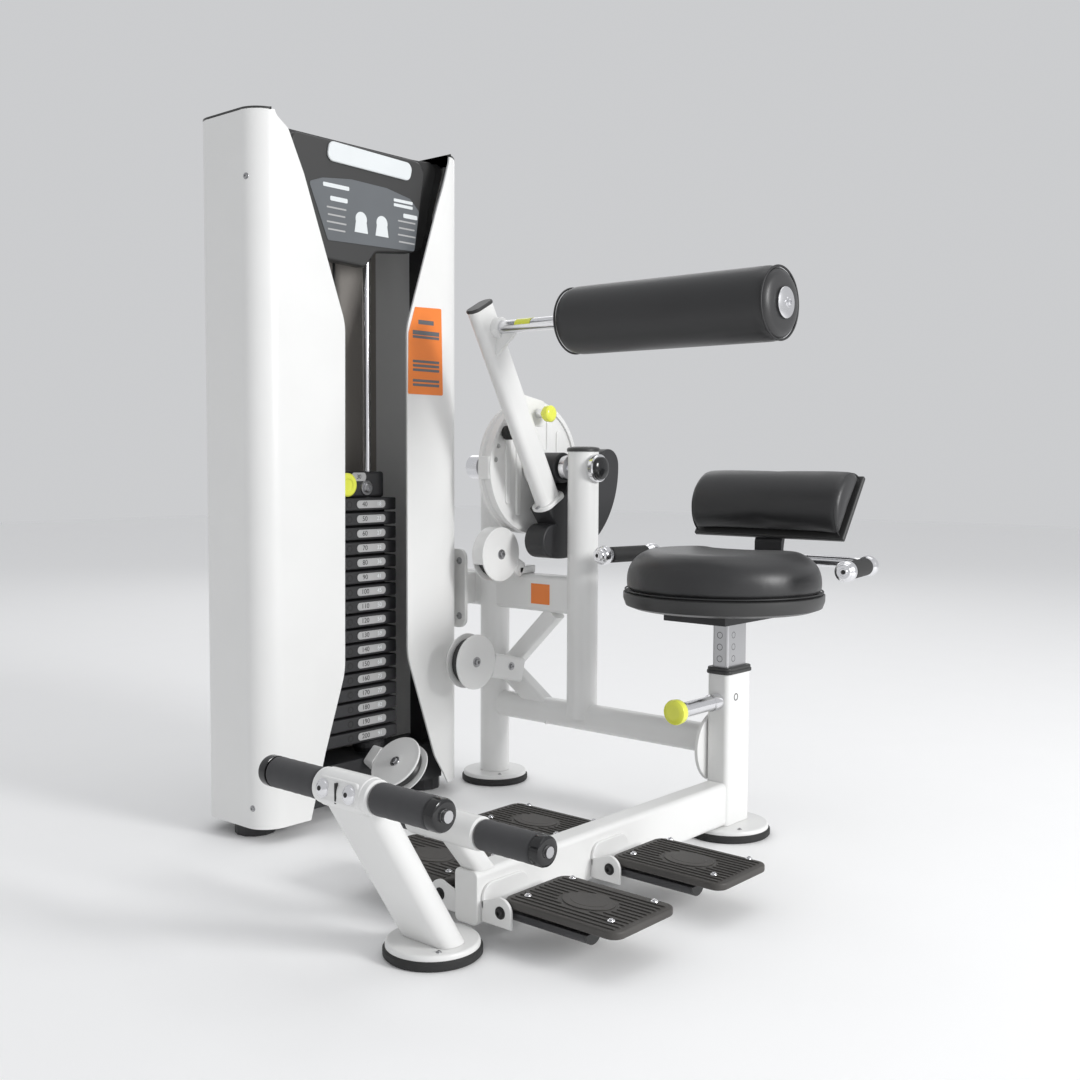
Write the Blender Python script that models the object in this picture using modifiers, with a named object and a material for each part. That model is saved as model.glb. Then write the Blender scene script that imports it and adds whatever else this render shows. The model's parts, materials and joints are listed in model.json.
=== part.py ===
"""Seated torso-flexion machine with a weight stack, modelled as separate closed solids.

Metres, +Z up. The origin is on the floor under the seat post. The user sits facing -Y, +X is the
user's left, and the weight tower stands on the -X side with its long side along Y.
"""
import math

import bmesh
import bpy
from mathutils import Matrix, Vector

# ---- driving dimensions (metres) -----------------------------------------------------------
GAP = 0.0003                    # clearance between neighbouring solids
RUN = 0.0004                    # radial running clearance of a turning piece
ROUND_STEPS = 20                # sides of a large round piece
SMALL_STEPS = 12                # sides of a small round piece

FOOT_RUBBER = 0.016             # height of a foot's rubber ring
FOOT_PLATE = 0.010              # thickness of the steel plate on it
FOOT_TOP = FOOT_RUBBER + FOOT_PLATE
SEAT_FOOT_R = 0.095
FRONT_FOOT_R = 0.085
REAR_FOOT_R = 0.085
FRONT_FOOT_Y = -0.914

BEAM_W = 0.054                  # base beam
BEAM_BOTTOM = 0.0275
BEAM_TOP = 0.122
BEAM_FRONT_Y = -0.835
SEAT_POST_W = 0.056             # seat post, outer tube
SEAT_POST_D = 0.096
SEAT_POST_TOP = 0.360
COLLAR_TOP = 0.375
COLLAR_LIP = 0.004
INNER_W = 0.040                 # sliding seat tube
INNER_D = 0.080
INNER_BOTTOM = 0.140
SEAT_BASE_Z = 0.470             # underside of the seat bracket

PIVOT_Z = 0.806                 # arm pivot, axis along X
POST_R = 0.0375
PIVOT_POST_X = -0.417
REAR_POST_X = -0.705
POST_TOP = 0.848
POST_CAP_H = 0.008
LOWER_BAR_Z = 0.2025            # lower crossbar
LOWER_BAR_H = 0.066
LOWER_BAR_D = 0.050
FLANGE_R = 0.080
UPPER_BAR_Z = 0.4965            # upper crossbar
UPPER_BAR_H = 0.091
UPPER_BAR_D = 0.050
UPPER_BAR_END_X = -0.792
BRACE_JOINT_Z = 0.298           # height where the two diagonals meet
TOWER_PLATE_Y = -0.090          # plate that bolts the frame to the tower

SHAFT_R = 0.016
SHAFT_END_X = -0.355
SHAFT_TAIL_X = -0.785
CAM_R = 0.165
CAM_LEFT_X = -0.610
CAM_FACE_X = -0.570
HUB_R = 0.045
WEIGHT_LEFT_X = -0.5397         # cast counterweight
WEIGHT_RIGHT_X = -0.478
WEIGHT_OUTER_R = 0.222
WEIGHT_INNER_R = 0.140
ARM_X = -0.495                  # pressing arm
ARM_W = 0.036
ARM_D = 0.070
ARM_BASE = (-0.0385, 0.724)
ARM_TOP = (-0.2795, 1.168)
FLANGE_T = 0.010                # plate at the arm's foot
FLANGE_HALF = 0.045
WEIGHT_HUB_R = 0.037
PIN_SPOT = (-0.070, 0.935)      # pop pin of the arm's setting
ROLL_Y = -0.240                 # chest roll
ROLL_Z = 1.124
ROLL_R = 0.077
ROLL_HALF = 0.264
ROLL_TUBE_R = 0.0155

PULLEY_X = -0.600               # plane of the two frame pulleys
PULLEY_R = 0.066
WHEEL_R = 0.0505
WHEEL_W = 0.022
CHEEK_T = 0.004
CHEEK_PITCH = 0.033
AXLE_R = 0.006
UPPER_PULLEY = (-0.111, 0.595)
LOWER_PULLEY = (-0.198, 0.341)
TOWER_PULLEY = Vector((-0.630, -0.405, 0.120))
TOWER_PULLEY_AXIS = Vector((0.0, -0.74, 0.68)).normalized()
CABLE_R = 0.003

FOOT_BAR_Y = -1.090             # foot bar with foam rollers
FOOT_BAR_Z = 0.310
FOOT_ROLLER_IN = 0.064
FOOT_ROLLER_OUT = 0.206
LOWER_ROLLER_Y = -0.878
LOWER_ROLLER_Z = 0.210
LOWER_ROLLER_IN = 0.080
LOWER_ROLLER_OUT = 0.222
ROLLER_R = 0.026
ROLLER_AXLE_R = 0.010
ROLLER_CAP = 0.020
FRONT_POST_W = 0.120
FRONT_POST_T = 0.048
STEP_TOP = 0.085                # foot plates
STEP_T = 0.006
STEP_EDGE = 0.016                # depth of the rolled edges
STEP_IN = 0.066
STEP_OUT = 0.312
STEP_ARM_IN = 0.022              # arm's middle behind the front edge
STEP_ARM_END = 0.250
STEP_HINGE_X = 0.072
STEP_HINGE_Z = 0.061
STEP_ARM_R = 0.020
STEP_ROWS = ((-0.818, -0.648), (-0.516, -0.352))

SEAT_R = 0.220                  # half-moon seat
SEAT_Y = -0.028
SEAT_LOBE_Y = 0.118
SEAT_NOTCH_Y = 0.050
SEAT_BOARD_Z = 0.505
SEAT_BOARD_T = 0.036
SEAT_PAD_TOP = 0.630
LUMBAR_HALF = 0.195
LUMBAR_LOW = (0.145, 0.655)
LUMBAR_HIGH = (0.240, 0.792)
LUMBAR_BULGE = 0.072
LUMBAR_BOARD_T = 0.012
SEAT_FRAME_W = 0.070
HANDLE_R = 0.0125
HANDLE_Z = 0.6045
HANDLE_BACK_Y = 0.145
GRIP_R = 0.0185
GRIP_FRONT = (0.307, -0.060)
GRIP_REAR = (0.279, 0.093)
BULB_R = 0.027

TOWER_X = -0.790                # weight tower, at its guide rods
TOWER_SIDES = (-0.907, -0.680)
TOWER_FRONT = (-0.750, 0.055)   # face of the front cover and its corner radius
TOWER_REAR = (-0.107, 0.1135)
TOWER_BOTTOM = 0.030
TOWER_TOP = 1.550
SHROUD_T = 0.005
FRONT_EDGE = ((-0.715, 1.600), (-0.701, 1.541), (-0.669, 1.518), (-0.628, 1.431), (-0.517, 1.125),
              (-0.523, 0.347), (-0.580, 0.175), (-0.628, 0.010))
REAR_EDGE = ((-0.182, 1.600), (-0.185, 1.539), (-0.228, 1.429), (-0.330, 1.132), (-0.330, 0.361),
             (-0.241, 0.105), (-0.180, 0.010))
STACK_Y = -0.456
STACK_HALF = 0.145
STACK_FRONT_X = -0.740
STACK_BACK_X = -0.840
PLATES = 17
PLATE_PITCH = 0.0341
PLATE_T = 0.029
LOW_PLATE_Z = 0.1745            # centre of the lowest plate
ROD_R = 0.0095
ROD_OFFSET = 0.098
STEM_R = 0.0125
HEAD_X = (-0.815, -0.765)
HEAD_Y = (-0.586, -0.326)
HEAD_H = 0.060
BUMPER_R = 0.039
BUMPER_H = 0.034
BEAM_LOW_Z = 1.500              # underside of the tower's top beam
BEAM_HIGH_Z = 1.545
TOP_WHEEL_R = 0.0375

STACK_BOTTOM = LOW_PLATE_Z - PLATE_T / 2
STACK_TOP = STACK_BOTTOM + (PLATES - 1) * PLATE_PITCH + PLATE_T
HEAD_Z = STACK_TOP + 0.001
BASE_TOP = STACK_BOTTOM - BUMPER_H - 2 * GAP

WHITE = ("white_powder_coat", (0.86, 0.86, 0.85), 0.35, 0.0)
BLACK = ("black_plastic", (0.035, 0.035, 0.037), 0.45, 0.0)
CAST = ("black_cast_iron", (0.045, 0.045, 0.048), 0.55, 0.0)
VINYL = ("black_vinyl", (0.030, 0.030, 0.032), 0.50, 0.0)
FOAM = ("grey_foam", (0.090, 0.090, 0.092), 0.90, 0.0)
CHROME = ("chrome", (0.80, 0.80, 0.82), 0.12, 1.0)
STEEL = ("steel", (0.55, 0.55, 0.56), 0.35, 1.0)
RUBBER = ("rubber", (0.030, 0.030, 0.030), 0.75, 0.0)
STEP = ("dark_grey_tread", (0.085, 0.080, 0.075), 0.60, 0.0)
YELLOW = ("yellow_knob", (0.80, 0.83, 0.10), 0.40, 0.0)
PANEL = ("grey_panel", (0.45, 0.43, 0.41), 0.60, 0.0)


# ---- scene and helpers ---------------------------------------------------------------------
def clear_scene():
    for obj in list(bpy.data.objects):
        bpy.data.objects.remove(obj, do_unlink=True)


def collection(name):
    group = bpy.data.collections.new(name)
    bpy.context.scene.collection.children.link(group)
    return group


clear_scene()
PARTS = collection("torso_flexion_machine")
CUTTERS = collection("cutters")


def material(spec):
    name, colour, roughness, metallic = spec
    if name in bpy.data.materials:
        return bpy.data.materials[name]
    mat = bpy.data.materials.new(name)
    mat.use_nodes = True
    shader = mat.node_tree.nodes["Principled BSDF"]
    shader.inputs["Base Color"].default_value = (*colour, 1.0)
    shader.inputs["Roughness"].default_value = roughness
    shader.inputs["Metallic"].default_value = metallic
    return mat


def place(obj, spec):
    """Put a finished object in the parts collection with its material."""
    PARTS.objects.link(obj)
    obj.data.materials.clear()
    obj.data.materials.append(material(spec))
    obj.data.shade_smooth()
    obj.data.set_sharp_from_angle(angle=math.radians(35))
    return obj


def add_bevel(obj, width, segments=1):
    if width > 0:
        bevel = obj.modifiers.new("rounded edges", "BEVEL")
        bevel.width = width
        bevel.segments = segments
        bevel.limit_method = "ANGLE"
        bevel.angle_limit = math.radians(40)
        bevel.harden_normals = False
    return obj


def combine(obj, tool, operation):
    """Join a second solid to a first, or cut it away."""
    for group in list(tool.users_collection):
        group.objects.unlink(tool)
    CUTTERS.objects.link(tool)
    tool.display_type = "WIRE"
    tool.hide_render = True
    boolean = obj.modifiers.new(operation.lower(), "BOOLEAN")
    boolean.operation = operation
    boolean.solver = "EXACT"
    boolean.object = tool
    return obj


def join(obj, *tools):
    for tool in tools:
        combine(obj, tool, "UNION")
    return obj


def cut(obj, *tools):
    for tool in tools:
        combine(obj, tool, "DIFFERENCE")
    return obj


def frame_matrix(origin, side, normal):
    """Matrix whose local Z is the normal and whose local X is as near as can be to side."""
    z_axis = Vector(normal).normalized()
    x_axis = Vector(side)
    x_axis = (x_axis - z_axis * x_axis.dot(z_axis)).normalized()
    y_axis = z_axis.cross(x_axis)
    matrix = Matrix((x_axis, y_axis, z_axis)).transposed().to_4x4()
    matrix.translation = Vector(origin)
    return matrix


def box(name, low, high, spec, bevel=0.0):
    mesh = bpy.data.meshes.new(name)
    bm = bmesh.new()
    bmesh.ops.create_cube(bm, size=1.0)
    size = [b - a for a, b in zip(low, high)]
    bmesh.ops.scale(bm, vec=size, verts=bm.verts)
    bm.to_mesh(mesh)
    bm.free()
    obj = bpy.data.objects.new(name, mesh)
    obj.location = [(a + b) / 2 for a, b in zip(low, high)]
    place(obj, spec)
    return add_bevel(obj, bevel)


def rod(name, start, end, radius, spec, steps=ROUND_STEPS, bevel=0.0):
    """Straight round bar from start to end."""
    start = Vector(start)
    end = Vector(end)
    mesh = bpy.data.meshes.new(name)
    bm = bmesh.new()
    length = (end - start).length
    bmesh.ops.create_cone(bm, cap_ends=True, segments=steps, radius1=radius, radius2=radius, depth=length)
    bm.to_mesh(mesh)
    bm.free()
    obj = bpy.data.objects.new(name, mesh)
    obj.matrix_world = frame_matrix((start + end) / 2, (0.12, 0.97, 0.2), end - start)
    place(obj, spec)
    return add_bevel(obj, bevel)


def turned(name, centre, axis, profile, spec, closed=False, steps=ROUND_STEPS):
    """Profile of (radius, height) pairs, top to bottom of the outer side, turned about an axis."""
    mesh = bpy.data.meshes.new(name)
    points = [(radius, 0.0, height) for radius, height in profile]
    edges = [(i, i + 1) for i in range(len(points) - 1)]
    if closed:
        edges.append((len(points) - 1, 0))
    mesh.from_pydata(points, edges, [])
    obj = bpy.data.objects.new(name, mesh)
    obj.matrix_world = frame_matrix(centre, (0.12, 0.97, 0.2), axis)
    place(obj, spec)
    screw = obj.modifiers.new("turned", "SCREW")
    screw.axis = "Z"
    screw.steps = steps
    screw.render_steps = steps
    screw.use_merge_vertices = True
    screw.merge_threshold = 0.00001
    screw.use_smooth_shade = True
    return obj


def ball(name, centre, radius, spec):
    mesh = bpy.data.meshes.new(name)
    bm = bmesh.new()
    bmesh.ops.create_uvsphere(bm, u_segments=12, v_segments=8, radius=radius)
    bm.to_mesh(mesh)
    bm.free()
    obj = bpy.data.objects.new(name, mesh)
    obj.location = centre
    return place(obj, spec)


def solid_from_curve(curve_obj, name, spec):
    """Mesh object with welded caps made from a curve object, which is removed."""
    graph = bpy.context.evaluated_depsgraph_get()
    mesh = bpy.data.meshes.new_from_object(curve_obj.evaluated_get(graph))
    bm = bmesh.new()
    bm.from_mesh(mesh)
    bmesh.ops.remove_doubles(bm, verts=bm.verts, dist=0.00001)
    bmesh.ops.recalc_face_normals(bm, faces=bm.faces)
    bm.to_mesh(mesh)
    bm.free()
    mesh.name = name
    matrix = curve_obj.matrix_world.copy()
    bpy.data.objects.remove(curve_obj, do_unlink=True)
    obj = bpy.data.objects.new(name, mesh)
    obj.matrix_world = matrix
    return place(obj, spec)


def prism(name, outline, matrix, depth, spec, bevel=0.0):
    """Flat outline in local X and Y, extruded by depth along local Z about the matrix's origin."""
    curve = bpy.data.curves.new(name, "CURVE")
    curve.dimensions = "2D"
    curve.fill_mode = "BOTH"
    curve.extrude = depth / 2
    spline = curve.splines.new("POLY")
    spline.points.add(len(outline) - 1)
    for point, (x, y) in zip(spline.points, outline):
        point.co = (x, y, 0.0, 1.0)
    spline.use_cyclic_u = True
    curve_obj = bpy.data.objects.new(name, curve)
    bpy.context.scene.collection.objects.link(curve_obj)
    curve_obj.matrix_world = matrix
    bpy.context.view_layer.update()
    obj = solid_from_curve(curve_obj, name, spec)
    return add_bevel(obj, bevel)


def tube(name, points, radius, spec, resolution=2):
    """Round tube through straight points, with filled ends."""
    curve = bpy.data.curves.new(name, "CURVE")
    curve.dimensions = "3D"
    curve.bevel_depth = radius
    curve.bevel_resolution = resolution
    curve.use_fill_caps = True
    spline = curve.splines.new("POLY")
    spline.points.add(len(points) - 1)
    for point, place_at in zip(spline.points, points):
        point.co = (*place_at, 1.0)
    curve_obj = bpy.data.objects.new(name, curve)
    bpy.context.scene.collection.objects.link(curve_obj)
    bpy.context.view_layer.update()
    return solid_from_curve(curve_obj, name, spec)


def arc(centre, radius, start, end, steps):
    """Points of a round stretch, angles in degrees."""
    points = []
    for i in range(steps + 1):
        angle = math.radians(start + (end - start) * i / steps)
        points.append((centre[0] + radius * math.cos(angle), centre[1] + radius * math.sin(angle)))
    return points


def rounded(corners, radius, steps=3):
    """Closed outline whose corners are rounded: radius is one value or one for each corner."""
    outline = []
    count = len(corners)
    radii = radius if isinstance(radius, (list, tuple)) else [radius] * count
    for i in range(count):
        here = Vector(corners[i])
        before = (Vector(corners[i - 1]) - here).normalized()
        after = (Vector(corners[(i + 1) % count]) - here).normalized()
        if radii[i] <= 0:
            outline.append(tuple(here))
            continue
        half = before.angle(after) / 2
        reach = radii[i] / math.tan(half)
        centre = here + (before + after).normalized() * (radii[i] / math.sin(half))
        first = here + before * reach - centre
        last = here + after * reach - centre
        turn = first.angle_signed(last)
        for k in range(steps + 1):
            spoke = Matrix.Rotation(-turn * k / steps, 2) @ first
            outline.append(tuple(centre + spoke))
    return outline


def rectangle(width, height, radius, steps=3):
    w = width / 2
    h = height / 2
    return rounded([(w, -h), (w, h), (-w, h), (-w, -h)], radius, steps)


def bar(name, start, end, side, width, height, radius, spec, steps=3):
    """Straight tube with a rounded rectangular section: width along side."""
    start = Vector(start)
    end = Vector(end)
    matrix = frame_matrix((start + end) / 2, side, end - start)
    return prism(name, rectangle(width, height, radius, steps), matrix, (end - start).length, spec)


def smooth_path(route, spacing):
    """Points at about equal spacing on a smooth curve through the route's points."""
    path = []
    ends = [route[0]] + list(route) + [route[-1]]
    for a, b, c, d in zip(ends, ends[1:], ends[2:], ends[3:]):
        a, b, c, d = Vector(a), Vector(b), Vector(c), Vector(d)
        count = max(1, round((c - b).length / spacing))
        for i in range(count):
            t = i / count
            point = (b * 2 + (c - a) * t + (a * 2 - b * 5 + c * 4 - d) * t ** 2
                     + (b * 3 - a - c * 3 + d) * t ** 3) / 2
            path.append(point)
    path.append(Vector(route[-1]))
    return path


def side_view(x):
    """Matrix of an outline drawn in Y and Z and extruded along X."""
    return frame_matrix((x, 0, 0), (0, 1, 0), (1, 0, 0))


def plan_view(z):
    """Matrix of an outline drawn in X and Y and extruded along Z."""
    return frame_matrix((0, 0, z), (1, 0, 0), (0, 0, 1))


def shaft_bore(name, low_x, high_x):
    return rod(name, (low_x, 0, PIVOT_Z), (high_x, 0, PIVOT_Z), SHAFT_R + RUN, STEEL)


# ---- floor frame ---------------------------------------------------------------------------
def foot(name, x, y, radius):
    """Steel plate with a rubber ring under it."""
    profile = [(0, FOOT_TOP), (radius - 0.006, FOOT_TOP), (radius - 0.004, FOOT_TOP - 0.002),
               (radius - 0.004, FOOT_RUBBER), (radius, FOOT_RUBBER - 0.003), (radius, 0), (0, 0)]
    turned(name, (x, y, 0), (0, 0, 1), profile, RUBBER)


def base_beam():
    back_y = -SEAT_POST_D / 2 - GAP
    middle = (BEAM_BOTTOM + BEAM_TOP) / 2
    bar("base_beam", (0, BEAM_FRONT_Y, middle), (0, back_y, middle), (1, 0, 0),
        BEAM_W, BEAM_TOP - BEAM_BOTTOM, 0.010, WHITE)


def front_post():
    """Leaning oval post between the front foot and the foot bar's sleeve."""
    foot_point = Vector((0, FRONT_FOOT_Y, FOOT_TOP))
    top = Vector((0, FOOT_BAR_Y, FOOT_BAR_Z))
    lean = (top - foot_point).normalized()
    post = bar("front_post", foot_point - lean * 0.05, top, (1, 0, 0), FRONT_POST_W, FRONT_POST_T, 0.022, WHITE)
    floor = box("front_post_floor", (-0.1, -1.1, -0.1), (0.1, -0.7, FOOT_TOP + GAP), WHITE)
    cope = rod("front_post_cope", (-0.1, *top.yz), (0.1, *top.yz), ROLLER_R + 0.0035, WHITE)
    cut(post, floor, cope)


def foot_bar():
    """Axle of the upper foot rollers with its middle sleeve."""
    sleeve_half = FOOT_ROLLER_IN - GAP
    profile = [(0, FOOT_ROLLER_OUT), (ROLLER_AXLE_R, FOOT_ROLLER_OUT), (ROLLER_AXLE_R, sleeve_half)]
    profile += [(ROLLER_R + 0.003, sleeve_half)]
    profile += [(radius, -height) for radius, height in reversed(profile)]
    bar_obj = turned("foot_bar", (0, FOOT_BAR_Y, FOOT_BAR_Z), (1, 0, 0), profile, WHITE)
    clamp = box("foot_bar_clamp", (-0.030, FOOT_BAR_Y - 0.034, FOOT_BAR_Z - 0.012),
                (0.030, FOOT_BAR_Y, FOOT_BAR_Z + 0.030), WHITE)
    join(bar_obj, clamp)


def lower_roller_mount():
    sleeve_half = LOWER_ROLLER_IN - GAP
    profile = [(0, LOWER_ROLLER_OUT), (ROLLER_AXLE_R, LOWER_ROLLER_OUT), (ROLLER_AXLE_R, sleeve_half)]
    profile += [(ROLLER_R + 0.003, sleeve_half)]
    profile += [(radius, -height) for radius, height in reversed(profile)]
    mount = turned("lower_roller_mount", (0, LOWER_ROLLER_Y, LOWER_ROLLER_Z), (1, 0, 0), profile, WHITE)
    leg = bar("lower_roller_leg", (0, -0.790, BEAM_TOP - 0.02), (0, LOWER_ROLLER_Y, LOWER_ROLLER_Z),
              (1, 0, 0), 0.050, 0.036, 0.010, WHITE)
    top_of_beam = box("lower_roller_floor", (-0.1, -1.0, 0.0), (0.1, -0.6, BEAM_TOP + GAP), WHITE)
    cut(leg, top_of_beam)
    join(mount, leg)


def roller(name, y, z, inner, outer, side):
    """Foam roller with a glossy plug at its outer end, bored for the axle."""
    bore = ROLLER_AXLE_R + RUN
    low = inner + GAP
    cap = outer - ROLLER_CAP
    profile = [(bore, outer), (ROLLER_R - 0.004, outer), (ROLLER_R, outer - 0.004), (ROLLER_R, cap + 0.001),
               (ROLLER_R - 0.0015, cap), (ROLLER_R - 0.0015, low + 0.002), (ROLLER_R - 0.004, low), (bore, low)]
    turned(name, (0, y, z), (side, 0, 0), profile, FOAM, closed=True)


def foot_plate(name, side, low_y, high_y):
    """Ribbed tread on a half-round channel arm with a bracket against the beam's side."""
    inner = BEAM_W / 2 + GAP
    arm_y = low_y + STEP_ARM_IN
    tread_outline = rounded([(STEP_IN, low_y), (STEP_OUT, low_y), (STEP_OUT, high_y), (STEP_IN, high_y)], 0.022)
    lip = 0.006
    hollow = [(STEP_IN + lip, low_y + lip), (STEP_OUT - lip, low_y + lip), (STEP_OUT - lip, high_y - lip),
              (STEP_IN + lip, high_y - lip)]
    hollow = rounded(hollow, 0.017)
    if side < 0:
        tread_outline = [(-x, y) for x, y in reversed(tread_outline)]
        hollow = [(-x, y) for x, y in reversed(hollow)]
    tread = prism(name, tread_outline, plan_view(STEP_TOP - STEP_EDGE / 2), STEP_EDGE, STEP)
    cut(tread, prism(name + "_hollow", hollow, plan_view(STEP_TOP - STEP_T - STEP_EDGE / 2), STEP_EDGE, STEP))
    arm_z = STEP_TOP - STEP_ARM_R - 0.001
    arm = rod(name + "_arm", (side * (inner + 0.002), arm_y, arm_z), (side * STEP_ARM_END, arm_y, arm_z), STEP_ARM_R,
              STEP, SMALL_STEPS)
    plate_x = sorted((side * inner, side * (inner + 0.006)))
    plate = box(name + "_plate", (plate_x[0], low_y - 0.008, 0.036), (plate_x[1], high_y - 0.060, 0.100), STEP)
    lug_x = sorted((side * (inner + 0.002), side * (STEP_HINGE_X + 0.024)))
    lug = box(name + "_lug", (lug_x[0], low_y - 0.0075, 0.038), (lug_x[1], low_y - 0.0025, 0.080), STEP)
    hinge_x = side * STEP_HINGE_X
    hinge = rod(name + "_hinge", (hinge_x, low_y - 0.010, STEP_HINGE_Z), (hinge_x, arm_y, STEP_HINGE_Z), 0.008, STEP,
                SMALL_STEPS)
    join(tread, arm, plate, lug, hinge)


def seat_post():
    """Outer seat tube with its collar and the barrel of the pull knob."""
    bottom = FOOT_TOP + GAP
    height = COLLAR_TOP - bottom
    post = prism("seat_post", rectangle(SEAT_POST_W, SEAT_POST_D, 0.012), plan_view(bottom + height / 2),
                 height, WHITE)
    collar_h = COLLAR_TOP - SEAT_POST_TOP
    collar = prism("seat_post_collar",
                   rectangle(SEAT_POST_W + 2 * COLLAR_LIP, SEAT_POST_D + 2 * COLLAR_LIP, 0.014),
                   plan_view(SEAT_POST_TOP + collar_h / 2), collar_h - 2 * GAP, BLACK)
    barrel = rod("seat_post_barrel", (0, -SEAT_POST_D / 2 + 0.004, 0.300), (0, -0.190, 0.300), 0.016, CHROME,
                 SMALL_STEPS)
    hollow_low = INNER_BOTTOM - 0.100
    hollow = prism("seat_post_hollow", rectangle(INNER_W + 0.002, INNER_D + 0.002, 0.007),
                   plan_view((hollow_low + 0.5) / 2), 0.5 - hollow_low, STEEL)
    hole = rod("seat_post_hole", (0, -0.016, 0.309), (0.06, -0.016, 0.309), 0.006, STEEL, SMALL_STEPS)
    join(post, collar, barrel)
    cut(post, hollow, hole)


def lower_crossbar():
    """Oval tube from the rear post to the round flange on the seat post's side."""
    flange_x = -SEAT_POST_W / 2 - GAP
    flange = rod("lower_crossbar", (flange_x, 0, LOWER_BAR_Z - 0.012), (flange_x - 0.008, 0, LOWER_BAR_Z - 0.012),
                 FLANGE_R, WHITE)
    tube_bar = bar("lower_crossbar_tube", (flange_x - 0.004, 0, LOWER_BAR_Z), (REAR_POST_X, 0, LOWER_BAR_Z), (0, 1, 0),
                   LOWER_BAR_D, LOWER_BAR_H, 0.024, WHITE)
    cope = rod("lower_crossbar_cope", (REAR_POST_X, 0, 0), (REAR_POST_X, 0, 0.5), POST_R + GAP + 0.0005, WHITE)
    cut(tube_bar, cope)
    join(flange, tube_bar)


def round_post(name, x, bottom):
    """Round post with a cap, bored for the shaft."""
    cap = POST_R + 0.0025
    profile = [(0, POST_TOP + POST_CAP_H), (cap - 0.003, POST_TOP + POST_CAP_H), (cap, POST_TOP + POST_CAP_H - 0.003),
               (cap, POST_TOP), (POST_R, POST_TOP), (POST_R, bottom), (0, bottom)]
    post = turned(name, (x, 0, 0), (0, 0, 1), profile, WHITE)
    cut(post, shaft_bore(name + "_bore", x - 0.1, x + 0.1))


def pivot_post():
    """The nearer post stands on the lower crossbar's top and carries the shaft."""
    top_of_bar = LOWER_BAR_Z + LOWER_BAR_H / 2 + GAP
    round_post("pivot_post", PIVOT_POST_X, top_of_bar)


def upper_crossbar():
    """Tube between the two posts, coped to both."""
    tube_bar = bar("upper_crossbar", (PIVOT_POST_X, 0, UPPER_BAR_Z), (REAR_POST_X, 0, UPPER_BAR_Z), (0, 1, 0),
                   UPPER_BAR_D, UPPER_BAR_H, 0.012, WHITE)
    for x in (PIVOT_POST_X, REAR_POST_X):
        cut(tube_bar, rod("upper_crossbar_cope", (x, 0, 0), (x, 0, 1), POST_R + GAP + 0.0005, WHITE))


def tower_mount():
    """Stub of the crossbar beyond the rear post with its bolted end plate."""
    stub = bar("tower_mount", (REAR_POST_X, 0, UPPER_BAR_Z), (UPPER_BAR_END_X, 0, UPPER_BAR_Z), (0, 1, 0),
               UPPER_BAR_D, UPPER_BAR_H, 0.012, WHITE)
    cut(stub, rod("tower_mount_cope", (REAR_POST_X, 0, 0), (REAR_POST_X, 0, 1), POST_R + GAP + 0.0005, WHITE))
    arm = box("tower_mount_arm", (UPPER_BAR_END_X - 0.002, TOWER_PLATE_Y - 0.004, 0.455),
              (UPPER_BAR_END_X + 0.040, 0.020, 0.538), WHITE)
    outline = rounded([(-0.835, 0.400), (-0.720, 0.400), (-0.720, 0.600), (-0.835, 0.600)], 0.020)
    plate = prism("tower_mount_plate", outline, frame_matrix((0, TOWER_PLATE_Y, 0), (1, 0, 0), (0, -1, 0)),
                  0.010, WHITE)
    join(stub, arm, plate)


def brace(name, start, end, width, height, low, high):
    """Diagonal tube between a crossbar and the rear post, trimmed to what it meets."""
    piece = bar(name, start, end, (0, 1, 0), width, height, 0.008, WHITE)
    below = box(name + "_below", (-1.0, -0.2, 0.0), (0.0, 0.2, low + GAP), WHITE)
    above = box(name + "_above", (-1.0, -0.2, high - GAP), (0.0, 0.2, 1.0), WHITE)
    post = rod(name + "_post", (REAR_POST_X, 0, 0), (REAR_POST_X, 0, 1), POST_R + GAP + 0.0005, WHITE)
    cut(piece, below, above, post)


# ---- weight tower --------------------------------------------------------------------------
def cover_outline(face_y, direction, corner, inset):
    """U of a side cover in plan, drawn in from its outside by inset."""
    left = TOWER_SIDES[0] + inset
    right = TOWER_SIDES[1] - inset
    face = face_y - direction * inset
    radius = corner - inset
    right_corner = arc((right - radius, face - direction * radius), radius, 0, 90 * direction, 8)
    left_corner = arc((left + radius, face - direction * radius), radius, 90 * direction, 180 * direction, 8)
    open_y = STACK_Y + direction * 0.060
    return [(right, open_y)] + right_corner + left_corner + [(left, open_y)]


def shroud(name, face_y, direction, corner, edge):
    """Curved side cover: a U in plan, cut along the slanted edge of the opening."""
    outline = cover_outline(face_y, direction, corner, 0.0)
    outline += cover_outline(face_y, direction, corner, SHROUD_T)[::-1]
    height = TOWER_TOP - TOWER_BOTTOM
    cover = prism(name, outline, plan_view(TOWER_BOTTOM + height / 2), height, WHITE)
    beyond = STACK_Y - direction * 0.3
    opening = [(beyond, 1.600)] + list(edge) + [(beyond, 0.010)]
    window = prism(name + "_window", opening, side_view(TOWER_SIDES[1]), 0.12, WHITE)
    cut(cover, window)


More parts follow.
